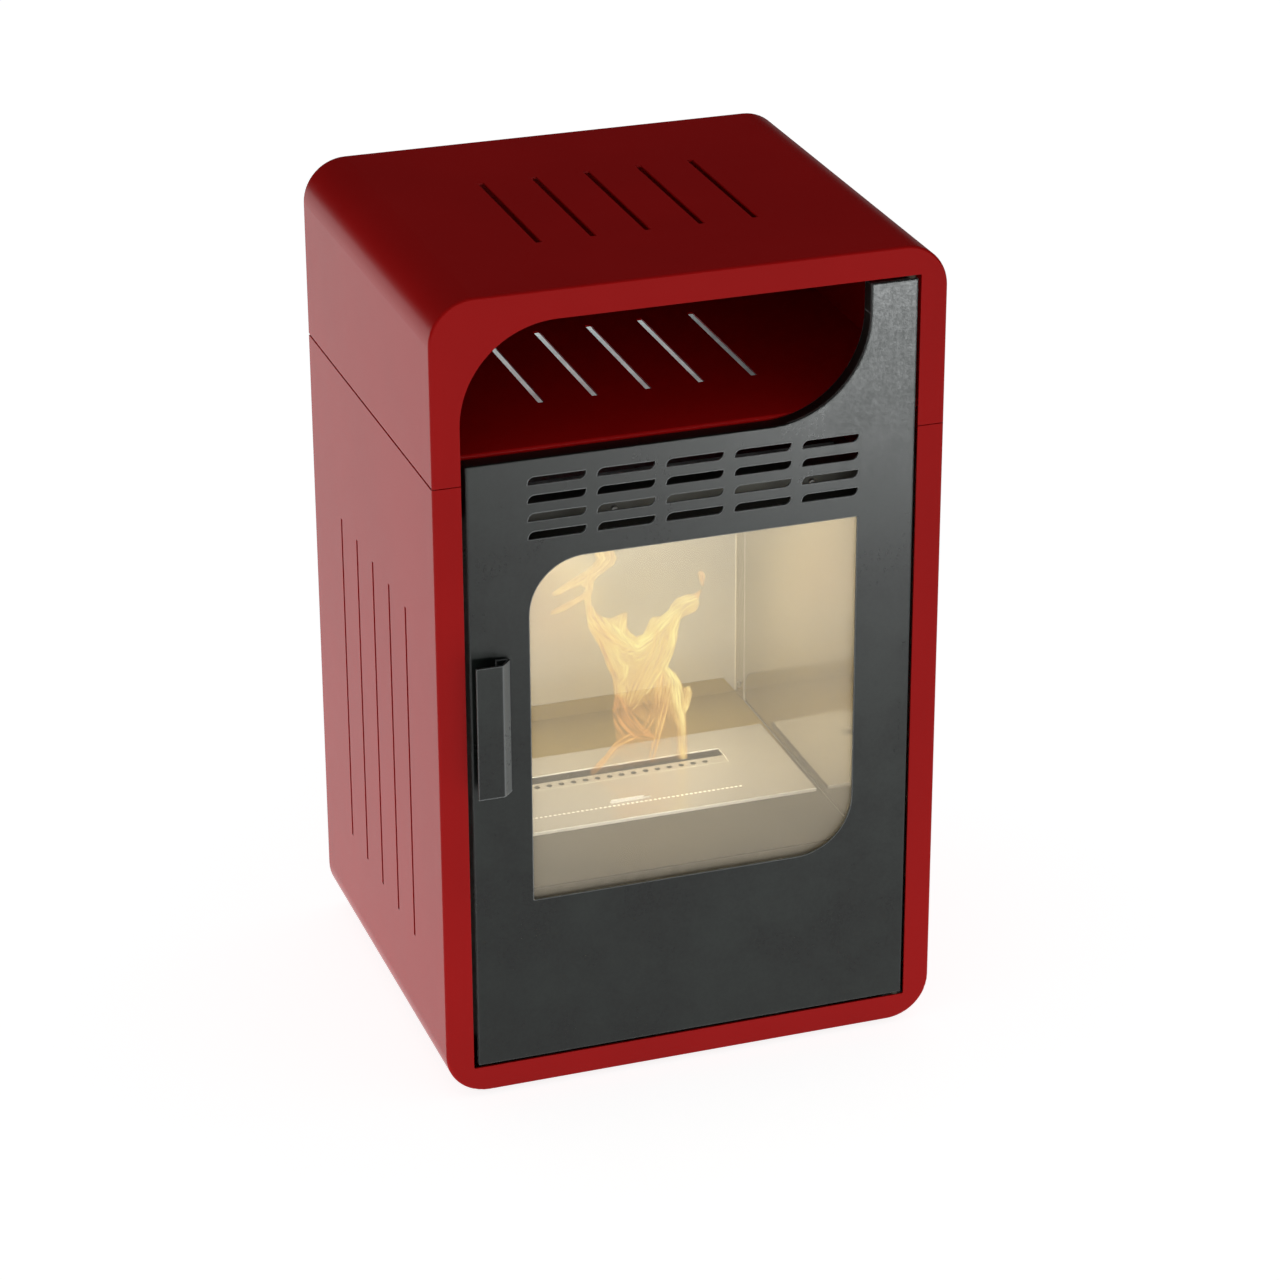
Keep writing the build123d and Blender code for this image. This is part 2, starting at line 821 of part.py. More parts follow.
def door_edge_strips():
    left, right = door_left + door_sheet, door_right - door_sheet
    low, high = door_bottom + door_sheet, door_top - door_sheet
    arm = door_right - door_stile
    edge = arm + door_sheet
    return group([
        door_rim(-half_width, half_width, base, low),
        door_rim(-half_width, left, low, door_shoulder - door_sheet),
        door_rim(-half_width, arm - door_arc, door_shoulder - door_sheet, door_shoulder),
        door_rim(arm, edge, door_shoulder + door_arc, high),
        door_rim(arm, half_width, high, top),
        door_rim(right, half_width, low, high),
    ])


def door_arc_strip():
    arm = door_right - door_stile
    low, high = door_shoulder - door_sheet, door_shoulder + door_arc
    return door_rim(arm - door_arc, arm + door_sheet, low, high)


def glass_edges():
    reach = glass_overlap
    return window_left - reach, window_right + reach, window_bottom - reach, window_top + reach


def window_glass():
    left, right, low, high = glass_edges()
    return block(left, right, glass_front, glass_back, low, high)


def glass_seal():
    left, right, low, high = glass_edges()
    inset = seal_setback
    outer = block(left + inset, right - inset, door_inside, glass_front, low + inset, high - inset)
    inset += seal_width
    y0, y1 = door_inside - cut_margin, glass_front + cut_margin
    return outer - block(left + inset, right - inset, y0, y1, low + inset, high - inset)


def glass_clip(x, z, away):
    # profile across the clip: u runs away from the glass, v runs back from the door sheet
    riser = side_clearance
    depth = seal_sheet + glass_sheet
    profile = outline(
        (-clip_tongue, depth, 0),
        (-clip_tongue, depth + clip_sheet, 0),
        (riser + clip_sheet, depth + clip_sheet, outer_bend),
        (riser + clip_sheet, clip_sheet, inner_bend),
        (riser + clip_sheet + clip_foot, clip_sheet, 0),
        (riser + clip_sheet + clip_foot, 0, 0),
        (riser, 0, 0),
        (riser, depth, 0),
    )
    across = Vector(*away).cross(Vector(0, 1, 0))
    place = Plane(origin=(x, door_inside, z), x_dir=away, z_dir=across)
    clip = place * extrude(profile, amount=clip_width / 2, both=True)
    centre = Pos(riser + clip_sheet + clip_foot / 2, 0, 0)
    return clip - place * centre * Rot(90, 0, 0) * Cylinder(stud_radius + slide_clearance, depth)


def glass_nut(x, z):
    face = RegularPolygon(nut_flats / 2, 6, major_radius=False) - Circle(stud_radius + slide_clearance)
    return upright(Pos(x, z) * face, door_inside + clip_sheet, nut_height)


def handle_screw_points():
    x = door_left + handle_inset + handle_face + handle_web_run - handle_foot + handle_screw_line
    middle = base + handle_height + handle_length / 2
    return [(x, door_inside, middle + z) for z in spaced(2, handle_screw_spread)]


def door_handle():
    x0 = door_left + handle_inset
    x1 = x0 + handle_face
    x2 = x1 + handle_web_run
    x3 = x2 - handle_foot
    outer = front - handle_standoff
    inner = outer + handle_sheet
    half_turn = math.atan2(handle_standoff, handle_web_run) / 2
    first = handle_sheet * math.tan(half_turn)
    second = handle_sheet / math.tan(half_turn)
    wide = handle_bend + handle_sheet
    plan = outline(
        (x0, outer, 0),
        (x1, outer, wide),
        (x2, front, wide),
        (x3, front, 0),
        (x3, front - handle_sheet, 0),
        (x2 - second, front - handle_sheet, handle_bend),
        (x1 - first, inner, handle_bend),
        (x0, inner, 0),
    )
    handle = standing(plan, base + handle_height, handle_length)
    for x, y, z in handle_screw_points():
        depth = door_sheet + handle_sheet + cut_margin
        handle -= rod((x, y, z), (0, -1, 0), screw_hole_radius, depth)
    return handle


# Hinges and catches


def hinge_bush(end):
    # end is 1 at the top and -1 at the bottom
    face = door_top if end > 0 else door_bottom
    opening = open_top if end > 0 else open_bottom
    flange_height = abs(opening - face) - bush_seat_gap
    bush = rod((pivot_x, pivot_y, face), (0, 0, end), bush_flange_radius, flange_height)
    bush += rod((pivot_x, pivot_y, face), (0, 0, -end), bush_radius, bush_length)
    start = (pivot_x, pivot_y, face + 2 * end * bush_length)
    return bush - rod(start, (0, 0, -end), pin_radius + pin_running_clearance, 4 * bush_length)


def hinge_pin(end):
    tab = open_top if end > 0 else open_bottom
    far = tab + end * bracket_sheet
    pin = rod((pivot_x, pivot_y, far), (0, 0, -end), pin_radius, bracket_sheet + pin_reach)
    return pin + rod((pivot_x, pivot_y, far), (0, 0, end), pin_head_radius, pin_head_height)


def hinge_bracket(end):
    tab = open_top if end > 0 else open_bottom
    y0 = front + casing_sheet
    y1 = y0 + bracket_depth
    profile = outline(
        (y0, tab, outer_bend),
        (y1, tab, 0),
        (y1, tab + end * bracket_sheet, 0),
        (y0 + bracket_sheet, tab + end * bracket_sheet, outer_bend),
        (y0 + bracket_sheet, tab + end * bracket_leg, 0),
        (y0, tab + end * bracket_leg, 0),
    )
    bracket = crosswise(profile, pivot_x - bracket_width / 2, bracket_width)
    relief = (pivot_x, pivot_y, tab + end * bracket_sheet)
    bracket -= rod(relief, (0, 0, end), pin_head_radius + screw_clearance, bracket_leg)
    start = (pivot_x, pivot_y, tab - end * cut_margin)
    return bracket - rod(start, (0, 0, end), pin_radius + pin_running_clearance, bracket_leg)


def magnet_catch(z):
    x = -half_width + catch_inset
    y0 = box_front - catch_depth
    body = block(x, x + catch_width, y0, box_front, z - catch_height / 2, z + catch_height / 2)
    return fillet(body.edges().filter_by(Axis.Y), catch_edge)


def striker(z):
    x = -half_width + catch_inset
    rear = box_front - catch_depth - striker_gap
    low, high = z - striker_height / 2, z + striker_height / 2
    foot_low = low - catch_width
    profile = outline(
        (door_inside, foot_low, 0),
        (door_inside + striker_sheet, foot_low, 0),
        (door_inside + striker_sheet, low - striker_sheet, inner_bend),
        (rear, low - striker_sheet, outer_bend),
        (rear, high, 0),
        (rear - striker_sheet, high, 0),
        (rear - striker_sheet, low, inner_bend),
        (door_inside, low, outer_bend),
    )
    return crosswise(profile, x, catch_width)


shell = casing_shell()
nodes = {
    "lower_casing": casing_half(shell, 0, seam - seam_gap / 2),
    "hood_casing": casing_half(shell, seam + seam_gap / 2, top + cut_margin),
    "niche_shelf": niche_shelf(),
    "seam_joiner_left": seam_joiner(-1),
    "seam_joiner_right": seam_joiner(1),
    "rear_panel": rear_panel(),
    "rear_panel_screws": group(
        screw(point, (0, 1, 0), rear_screw_grip) for point in rear_screw_points()
    ),
    "firebox_left_wall": firebox_wall(-1),
    "firebox_right_wall": firebox_wall(1),
    "firebox_wall_screws": group(
        screw(point, (0, 0, 1), wall_sheet + casing_sheet) for point in wall_screw_points()
    ),
    "firebox_back": firebox_back(),
    "firebox_back_screws": group(
        screw((x, y, z), (-x, 0, 0), back_sheet + 2 * wall_sheet) for x, y, z in back_screw_points()
    ),
    "firebox_floor": firebox_floor(),
    "floor_ledge_left": floor_ledge(-1),
    "floor_ledge_right": floor_ledge(1),
    "front_apron": front_apron(),
    "firebox_top": firebox_top(),
    "firebox_crossbar": firebox_crossbar(),
    "crossbar_screws": group(
        screw(point, (0, -1, 0), 2 * wall_sheet + crossbar_sheet) for point in flange_screw_points()
    ),
    "heat_deflector": heat_deflector(),
    "deflector_spacers": group(deflector_spacer(x, y) for x, y in spacer_points()),
    "deflector_screws": group(
        screw((x, y, deflector_top), (0, 0, 1), deflector_rise + deflector_screw_reach)
        for x, y in spacer_points()
    ),
    "fuel_tank": fuel_tank(),
    "fibre_wick": fibre_wick(),
    "burner_plate": burner_plate(),
    "flame_strip": flame_strip(),
    "air_shutter": air_shutter(),
    "shutter_guide_left": shutter_guide(-1),
    "shutter_guide_right": shutter_guide(1),
    "drip_tray": drip_tray(),
    "door_panel": door_panel(),
    "door_edge_strips": door_edge_strips(),
    "door_arc_strip": door_arc_strip(),
    "window_glass": window_glass(),
    "glass_seal": glass_seal(),
    "glass_clips": group(glass_clip(x, z, away) for x, z, away in clip_places()),
    "glass_clip_nuts": group(glass_nut(x, z) for x, z in stud_points()),
    "door_handle": door_handle(),
    "handle_screws": group(
        screw(point, (0, 1, 0), door_sheet + handle_sheet) for point in handle_screw_points()
    ),
    "hinge_bush_top": hinge_bush(1),
    "hinge_bush_bottom": hinge_bush(-1),
    "hinge_pin_top": hinge_pin(1),
    "hinge_pin_bottom": hinge_pin(-1),
    "hinge_bracket_top": hinge_bracket(1),
    "hinge_bracket_bottom": hinge_bracket(-1),
    "magnet_catch_upper": magnet_catch(catch_heights[1]),
    "magnet_catch_lower": magnet_catch(catch_heights[0]),
    "striker_upper": striker(catch_heights[1]),
    "striker_lower": striker(catch_heights[0]),
}
for name, (x, y) in zip(("front_left", "front_right", "rear_left", "rear_right"), foot_points()):
    nodes["foot_" + name] = foot(x, y)

os.makedirs("parts", exist_ok=True)
for name, shape in nodes.items():
    export_step(shape, os.path.join("parts", name + ".step"))
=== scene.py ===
import json
import math

import bpy
from mathutils import Matrix, Vector


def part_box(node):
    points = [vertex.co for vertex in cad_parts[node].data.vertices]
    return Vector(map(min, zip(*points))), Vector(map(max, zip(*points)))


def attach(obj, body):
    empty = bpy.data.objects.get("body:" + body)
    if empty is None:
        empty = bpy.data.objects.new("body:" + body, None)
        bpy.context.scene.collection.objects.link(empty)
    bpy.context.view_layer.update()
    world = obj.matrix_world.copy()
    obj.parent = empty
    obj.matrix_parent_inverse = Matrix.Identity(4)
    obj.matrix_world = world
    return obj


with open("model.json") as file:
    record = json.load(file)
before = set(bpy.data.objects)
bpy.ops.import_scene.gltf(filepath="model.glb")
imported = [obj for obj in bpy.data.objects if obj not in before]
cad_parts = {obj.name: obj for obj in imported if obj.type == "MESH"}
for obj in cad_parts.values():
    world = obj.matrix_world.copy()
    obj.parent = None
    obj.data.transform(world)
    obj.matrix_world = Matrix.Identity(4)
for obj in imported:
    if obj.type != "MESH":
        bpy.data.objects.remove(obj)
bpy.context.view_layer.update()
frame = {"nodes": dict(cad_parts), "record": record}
nodes = frame["nodes"]
print("stove frame loaded,", len(nodes), "nodes")


# a socket that takes part in sums, so 1 - mask or 0.3 + grain * 0.1 adds its Math nodes
class Wire:
    def __init__(self, finish, socket):
        self.finish = finish
        self.socket = socket

    def sum(self, operation, first, second):
        return self.finish.node("ShaderNodeMath", {"operation": operation}, {0: first, 1: second})

    def __add__(self, other):
        return self.sum("ADD", self, other)

    __radd__ = __add__

    def __sub__(self, other):
        return self.sum("SUBTRACT", self, other)

    def __rsub__(self, other):
        return self.sum("SUBTRACT", other, self)

    def __mul__(self, other):
        return self.sum("MULTIPLY", self, other)

    __rmul__ = __mul__

    def __pow__(self, other):
        return self.sum("POWER", self, other)

    def __abs__(self):
        return self.finish.node("ShaderNodeMath", {"operation": "ABSOLUTE"}, {0: self})


# one material, or the sky, while it is being put together
class Finish:
    def __init__(self, name, store=bpy.data.materials):
        self.owner = store.new(name)
        self.owner.use_nodes = True
        self.tree = self.owner.node_tree
        self.tree.nodes.clear()

    # settings go on first, where "stops" fill a colour ramp, then the sockets get values or wires
    def node(self, kind, settings=None, sockets=None, output=0):
        made = self.tree.nodes.new(kind)
        for key, value in (settings or {}).items():
            if key == "stops":
                ramp = made.color_ramp
                while len(ramp.elements) < len(value):
                    ramp.elements.new(1.0)
                for element, (place, colour) in zip(ramp.elements, value):
                    element.position = place
                    element.color = (*colour, 1.0)
            else:
                setattr(made, key, value)
        for key, value in (sockets or {}).items():
            if isinstance(value, Wire):
                self.tree.links.new(value.socket, made.inputs[key])
            elif isinstance(value, (tuple, list)) and made.inputs[key].type == "RGBA":
                made.inputs[key].default_value = (*value, 1.0)
            else:
                made.inputs[key].default_value = value
        return Wire(self, made.outputs[output]) if made.outputs else None

    def place(self, stretch=(1, 1, 1)):
        where = self.node("ShaderNodeTexCoord", output="Object")
        return self.node("ShaderNodeMapping", None, {"Vector": where, "Scale": stretch})

    def facing(self):
        return self.node("ShaderNodeNewGeometry", output="Normal")

    def part(self, vector, axis):
        return self.node("ShaderNodeSeparateXYZ", None, {0: vector}, axis)

    def noise(self, scale, detail, stretch=(1, 1, 1), roughness=0.5):
        where = self.place(stretch)
        sockets = {"Vector": where, "Scale": scale, "Detail": detail, "Roughness": roughness}
        return self.node("ShaderNodeTexNoise", None, sockets, "Fac")

    # 0 below low and 1 above high, or first and last
    def band(self, value, low, high, first=0.0, last=1.0):
        sockets = {"Value": value, 1: low, 2: high, 3: first, 4: last}
        return self.node("ShaderNodeMapRange", {"interpolation_type": "SMOOTHSTEP"}, sockets)

    # noise pulled apart into soft patches
    def patches(self, scale, detail, low, high, roughness=0.5):
        return self.band(self.noise(scale, detail, roughness=roughness), low, high)

    def larger(self, first, second):
        return self.node("ShaderNodeMath", {"operation": "MAXIMUM"}, {0: first, 1: second})

    # sockets 6 and 7 of a Mix node are its colours
    def blend(self, factor, first, second):
        sockets = {0: factor, 6: first, 7: second}
        return self.node("ShaderNodeMix", {"data_type": "RGBA"}, sockets, 2)

    # from the shade of a finish to its full colour
    def toned(self, mask, look):
        return self.blend(mask, look["shadeColour"], look["colour"])

    def bump(self, height, depth, strength, normal=None):
        sockets = {"Height": height, "Distance": depth, "Strength": strength}
        if normal:
            sockets["Normal"] = normal
        return self.node("ShaderNodeBump", None, sockets)

    def softEdge(self, radius):
        return self.node("ShaderNodeBevel", {"samples": 4}, {"Radius": radius})

    # 1 on an edge that the soft normal rounds, 0 on the flat; it marks where a highlight is painted
    def edgeHighlight(self, soft, low, high):
        settings, vectors = {"operation": "DOT_PRODUCT"}, {0: soft, 1: self.facing()}
        dot = self.node("ShaderNodeVectorMath", settings, vectors, "Value")
        return self.band(1 - dot, low, high)

    def shader(self, **sockets):
        renamed = {
            "baseColour": "Base Color", "roughness": "Roughness", "metallic": "Metallic",
            "normal": "Normal", "alpha": "Alpha", "specular": "Specular IOR Level",
            "emission": "Emission Color", "glow": "Emission Strength",
        }
        values = {renamed[key]: value for key, value in sockets.items()}
        return self.node("ShaderNodeBsdfPrincipled", None, values)

    def surface(self, **sockets):
        return self.out(self.shader(**sockets))

    def out(self, shader, kind="ShaderNodeOutputMaterial"):
        self.node(kind, None, {"Surface": shader})
        return self.owner


# two masks as one, the first with that share
def shared(first, second, share):
    return first * share + second * (1 - share)


def darker(colour, share):
    return tuple(share * channel for channel in colour)


# red powder coat
redCoat = {
    "colour": (0.452, 0.0052, 0.0052),
    "shadeColour": (0.420, 0.0046, 0.0046),
    "roughness": 0.21,
    "specular": 0.105,
    "cloud": {"scale": 5.0, "detail": 3.0, "low": 0.3, "high": 0.7},
    "rub": {"scale": 38.0, "detail": 4.0},
    "rubRough": 0.05,
    "grain": {"scale": 900.0, "detail": 2.0},
    "grainRough": 0.02,
    "grainDepth": 0.000018,
    "bump": 0.35,
    "edge": 0.0006,
}


def makeRedCoat():
    f, look = Finish("redPowderCoat"), redCoat
    colour = f.toned(f.patches(**look["cloud"]), look)
    rub, grain = f.noise(**look["rub"]), f.noise(**look["grain"])
    rough = look["roughness"] + look["rubRough"] * rub + look["grainRough"] * grain
    normal = f.bump(grain, look["grainDepth"], look["bump"], f.softEdge(look["edge"]))
    return f.surface(baseColour=colour, roughness=rough, normal=normal, specular=look["specular"])


# dark satin sheet of the door, with a highlight painted on its rounded edges
doorCoat = {
    "colour": (0.0095, 0.0130, 0.0112),
    "shadeColour": (0.0040, 0.0048, 0.0044),
    "roughness": 0.24,
    "specular": 0.33,
    "cloud": {"scale": 11.0, "detail": 6.0, "low": 0.32, "high": 0.7, "roughness": 0.62},
    "cloudShare": 0.7,
    "cloudRough": 0.05,
    "speck": {"scale": 300.0, "detail": 4.0, "low": 0.36, "high": 0.64, "roughness": 0.75},
    "speckRough": 0.06,
    "brushed": {"scale": 240.0, "detail": 2.0, "stretch": (1.0, 1.0, 0.05)},
    "brushedRough": 0.05,
    "grain": {"scale": 420.0, "detail": 3.0, "roughness": 0.7},
    "grainShare": 0.7,
    "grainDepth": 0.00006,
    "bump": 0.35,
    "edge": 0.0020,
    # the highlight painted on the rounded edges: where it lies, how strong it is, and its colour
    "edgeHighlight": (0.01, 0.20),
    "glintShare": 0.75,
    "glintColour": (0.42, 0.44, 0.44),
    # two sheets meet at this height of the shoulder, ground flush, so nothing is rounded there
    "weld": {"height": 0.6878, "reach": 0.0014, "fade": 0.0002},
}

# on the handle a highlight is painted on the bend, and the web, turned to the right, gets painted
# shade: near black and dull.
# Each pair says how far a face is turned to the right
handleCoat = {
    "bendFrom": (0.1, 0.4),
    "bendTo": (0.7, 0.9),
    "bendShare": 0.28,
    "web": (0.72, 0.92),
    "webShade": {"baseColour": (0.004, 0.004, 0.004), "roughness": 0.7, "specular": 0.12},
}


def makeDoorCoat(name, handle=False):
    f, look, weld = Finish(name), doorCoat, doorCoat["weld"]
    cloud, speck = f.patches(**look["cloud"]), f.patches(**look["speck"])
    brushed, grain = f.noise(**look["brushed"]), f.noise(**look["grain"])
    away = abs(f.part(f.place(), "Z") - weld["height"])
    offWeld = f.band(away, weld["reach"], weld["reach"] + weld["fade"])
    # sockets 4 and 5 of a Mix node are its vectors
    normals = {0: offWeld, 4: f.facing(), 5: f.softEdge(look["edge"])}
    soft = f.node("ShaderNodeMix", {"data_type": "VECTOR"}, normals, 1)
    # the pale colour on the rounded edges under this mask is a painted highlight
    edgeGlint = f.edgeHighlight(soft, *look["edgeHighlight"])
    colour = f.toned(shared(cloud, speck, look["cloudShare"]), look)
    colour = f.blend(edgeGlint * look["glintShare"], colour, look["glintColour"])
    rough = (look["roughness"] + look["cloudRough"] * cloud + look["brushedRough"] * brushed
             + look["speckRough"] * speck)
    marks = shared(grain, brushed, look["grainShare"])
    coat = {
        "roughness": rough,
        "normal": f.bump(marks, look["grainDepth"], look["bump"], soft),
        "specular": look["specular"],
    }
    if not handle:
        return f.surface(baseColour=colour, **coat)
    turned = f.part(f.facing(), "X")
    # a highlight is painted on the bend
    bendHighlight = f.band(turned, *handleCoat["bendFrom"]) * f.band(turned, *handleCoat["bendTo"], 1.0, 0.0)
    colour = f.blend(bendHighlight * handleCoat["bendShare"], colour, look["glintColour"])
    # the web turned to the right gets painted shade, near black and dull
    web = f.band(turned, *handleCoat["web"]) * (1 - edgeGlint)
    sides = {0: web, 1: f.shader(baseColour=colour, **coat), 2: f.shader(**handleCoat["webShade"])}
    return f.out(f.node("ShaderNodeMixShader", None, sides))


# bright rolled steel of the firebox walls
wallSteel = {
    "colour": (0.80, 0.775, 0.71),
    "shadeColour": (0.72, 0.695, 0.63),
    "metallic": 0.62,
    "roughness": 0.24,
}

# the same sheet where it kept its mirror polish
mirrorSteel = {
    "colour": (0.57, 0.54, 0.48),
    "shadeColour": (0.49, 0.46, 0.40),
    "metallic": 0.88,
    "roughness": 0.13,
}

# flange over the window, grey and stained
flangeSteel = {
    "colour": (0.26, 0.26, 0.23),
    "shadeColour": (0.09, 0.09, 0.08),
    "metallic": 0.5,
    "roughness": 0.42,
}

# lines of the rolling mill and haze, on each of the three
rolling = {
    "roll": {"scale": 40.0, "detail": 2.0, "stretch": (1.0, 1.0, 0.06)},
    "haze": {"scale": 7.0, "detail": 4.0, "low": 0.3, "high": 0.75},
    "hazeShare": 0.8,
    "hazeRough": 0.03,
}

# the bend between the back and its flanges, with a near white highlight painted along it: how far
# it lies from the middle and from the front, and how far a face turns sideways to be a flange
backBend = {
    "side": 0.1926,
    "depth": 0.1798,
    "fade": 0.0004,
    "turn": (0.6, 0.8),
    "colour": (0.98, 0.95, 0.86),
}


def makeSteel(name, look, flangeLook=None):
    f = Finish(name)
    roll, haze = f.noise(**rolling["roll"]), f.patches(**rolling["haze"])
    colour = f.toned(shared(haze, roll, rolling["hazeShare"]), look)
    rough, metallic = look["roughness"], look["metallic"]
    if flangeLook:
        side, depth, fade = (backBend[key] for key in ("side", "depth", "fade"))
        where = f.place()
        sideways = f.band(abs(f.part(where, "X")), side, side + fade)
        bendHighlight = sideways * f.band(f.part(where, "Y"), depth, depth + fade)
        flange = f.band(abs(f.part(f.facing(), "X")), *backBend["turn"])
        colour = f.blend(flange, colour, f.toned(haze, flangeLook))
        # a near white highlight is painted along the bend
        colour = f.blend(bendHighlight, colour, backBend["colour"])
        rough = rough + (flangeLook["roughness"] - rough) * flange
        metallic = metallic + (flangeLook["metallic"] - metallic) * flange
    rough = rough + rolling["hazeRough"] * haze
    return f.surface(baseColour=colour, roughness=rough, metallic=metallic)


# burner sheet: a highlight is painted on its cut edges, round the fine holes, on the plate's front
# face and on the hole walls in front, and soot lies inside the large holes
burnerSteel = {
    "colour": (0.61, 0.58, 0.53),
    "shadeColour": (0.52, 0.49, 0.44),
    "metallic": 0.55,
    "roughness": 0.18,
    "roll": {"scale": 90.0, "detail": 3.0, "stretch": (0.06, 1.0, 1.0)},
    "rollRough": 0.06,
    "haze": {"scale": 7.0, "detail": 4.0, "low": 0.3, "high": 0.75},
    "hazeShare": 0.6,
    "hazeRough": 0.05,
    "highlightColour": (0.98, 0.95, 0.86),
    "highlightRough": 0.3,
    "edge": 0.0013,
    "edgeHighlight": (0.01, 0.15),
    # faces turned this far to the door, or away from the flat, are the plate's front and hole walls
    "frontTurn": (-0.7, -0.4),
    "wallTurn": (0.3, 0.7),
    "fineHoles": {"line": -0.0486, "pitch": 0.005, "half": 0.1165, "radius": 0.0008, "rim": 0.0009},
    "sootAndShade": (0.26, 0.25, 0.21),
    "sootFrom": -0.01,
    "fade": 0.001,
}


def makeBurnerSteel(name, holed=False):
    f, look = Finish(name), burnerSteel
    roll, haze = f.noise(**look["roll"]), f.patches(**look["haze"])
    colour = f.toned(shared(haze, roll, look["hazeShare"]), look)
    rough = look["roughness"] + look["rollRough"] * roll + look["hazeRough"] * haze
    where = f.place()
    across, along = f.part(where, "X"), f.part(where, "Y")
    paintedHighlight = f.edgeHighlight(f.softEdge(look["edge"]), *look["edgeHighlight"])
    if holed:
        # soot in the round holes, but not on the small tab of the air shutter in front of them,
        # whose walls get the painted highlight instead
        wall = f.band(abs(f.part(f.facing(), "Z")), *look["wallTurn"], 1.0, 0.0)
        behind = f.band(along, look["sootFrom"], look["sootFrom"] + look["fade"])
        colour = f.blend(wall * behind, colour, look["sootAndShade"])
        paintedHighlight = f.larger(paintedHighlight, wall) * (1 - behind)
    else:
        holes = look["fineHoles"]
        half = holes["pitch"] / 2
        step = f.node("ShaderNodeMath", {"operation": "WRAP"}, {0: across, 1: half, 2: -half})
        offLine = along - holes["line"]
        ring = (step * step + offLine * offLine) ** 0.5
        outer, inner = holes["radius"] + holes["rim"], holes["radius"] + holes["rim"] / 2
        rim = f.band(ring, inner, outer, 1.0, 0.0)
        inRow = f.band(abs(across), holes["half"], holes["half"] + look["fade"], 1.0, 0.0)
        paintedHighlight = f.larger(paintedHighlight, rim * inRow)
        # the faces turned to the door, the plate's front, also get the painted highlight
        paintedHighlight = f.larger(paintedHighlight, f.band(f.part(f.facing(), "Y"), *look["frontTurn"], 1.0, 0.0))
    # the pale colour under this mask is a painted highlight
    colour = f.blend(paintedHighlight, colour, look["highlightColour"])
    rough = rough + look["highlightRough"] * paintedHighlight
    return f.surface(baseColour=colour, roughness=rough, metallic=look["metallic"] * (1 - paintedHighlight))


# heat blued sheet behind and round the burner, with the fire's yellow light painted on it behind
# the burner
darkSheet = {
    "colour": (0.085, 0.075, 0.060),
    "shadeColour": (0.055, 0.049, 0.040),
    "metallic": 0.3,
    "roughness": 0.48,
    "haze": {"scale": 9.0, "detail": 5.0, "low": 0.3, "high": 0.72},
    "scuff": {"scale": 160.0, "detail": 3.0, "stretch": (1.0, 0.3, 1.0)},
    "scuffRough": 0.1,
    "scuffDepth": 0.00003,
    "bump": 0.4,
    "paintedFirelight": (0.31, 0.22, 0.052),
    "firelightSpan": (-0.02, 0.10),
    "firelightHaze": 0.2,
}


def makeDarkSheet():
    f, look = Finish("heatDarkSheet"), darkSheet
    haze, scuff = f.patches(**look["haze"]), f.noise(**look["scuff"])
    # lighter and yellower towards the back, nearest the flame: painted light of the fire
    firelit = f.band(f.part(f.place(), "Y"), *look["firelightSpan"])
    firelit = firelit * (1 - look["firelightHaze"] + look["firelightHaze"] * haze)
    colour = f.blend(firelit, f.toned(haze, look), look["paintedFirelight"])
    rough = look["roughness"] + look["scuffRough"] * scuff
    normal = f.bump(scuff, look["scuffDepth"], look["bump"])
    return f.surface(baseColour=colour, roughness=rough, metallic=look["metallic"], normal=normal)


# galvanised sheet, with its faint crystal pattern
galvanised = {
    "colour": (0.60, 0.61, 0.61),
    "shadeColour": (0.44, 0.45, 0.46),
    "metallic": 0.8,
    "roughness": 0.34,
    "crystal": 95.0,
    "crystalShare": 0.6,
    "crystalRough": 0.12,
    "haze": {"scale": 12.0, "detail": 3.0},
    "hazeDepth": 0.00002,
    "bump": 0.4,
    # a sheet with this flag is painted near black from the first place forward, as painted shade
    "sootAndShade": (0.006, 0.006, 0.006),
    "shadeAt": 0.03,
    "shadeFade": 0.04,
}


def makeGalvanised(name, shadedFront=False):
    f, look = Finish(name), galvanised
    cells = {"Vector": f.place(), "Scale": look["crystal"]}
    cells = f.node("ShaderNodeTexVoronoi", None, cells, "Color")
    crystal = f.node("ShaderNodeSeparateColor", None, {"Color": cells}, "Red")
    haze = f.noise(**look["haze"])
    colour = f.toned(shared(crystal, haze, look["crystalShare"]), look)
    metallic = look["metallic"]
    if shadedFront:
        # near black towards the front: painted shade
        front = f.part(f.place(), "Y")
        sootAndShade = f.band(front, look["shadeAt"] - look["shadeFade"], look["shadeAt"], 1.0, 0.0)
        colour = f.blend(sootAndShade, colour, look["sootAndShade"])
        metallic = metallic * (1 - sootAndShade)
    rough = look["roughness"] + look["crystalRough"] * crystal
    normal = f.bump(haze, look["hazeDepth"], look["bump"])
    return f.surface(baseColour=colour, roughness=rough, metallic=metallic, normal=normal)


# rear panel: red outside, and bare inside but for the part that closes the niche
rearSheet = {
    "roughness": 0.22,
    "bareRough": 0.2,
    "bareTurn": (-0.6, -0.4),
    "bareBelow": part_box("niche_shelf")[1][2] - 0.003,  # just under the floor of the niche
    "bareFade": 0.002,
}


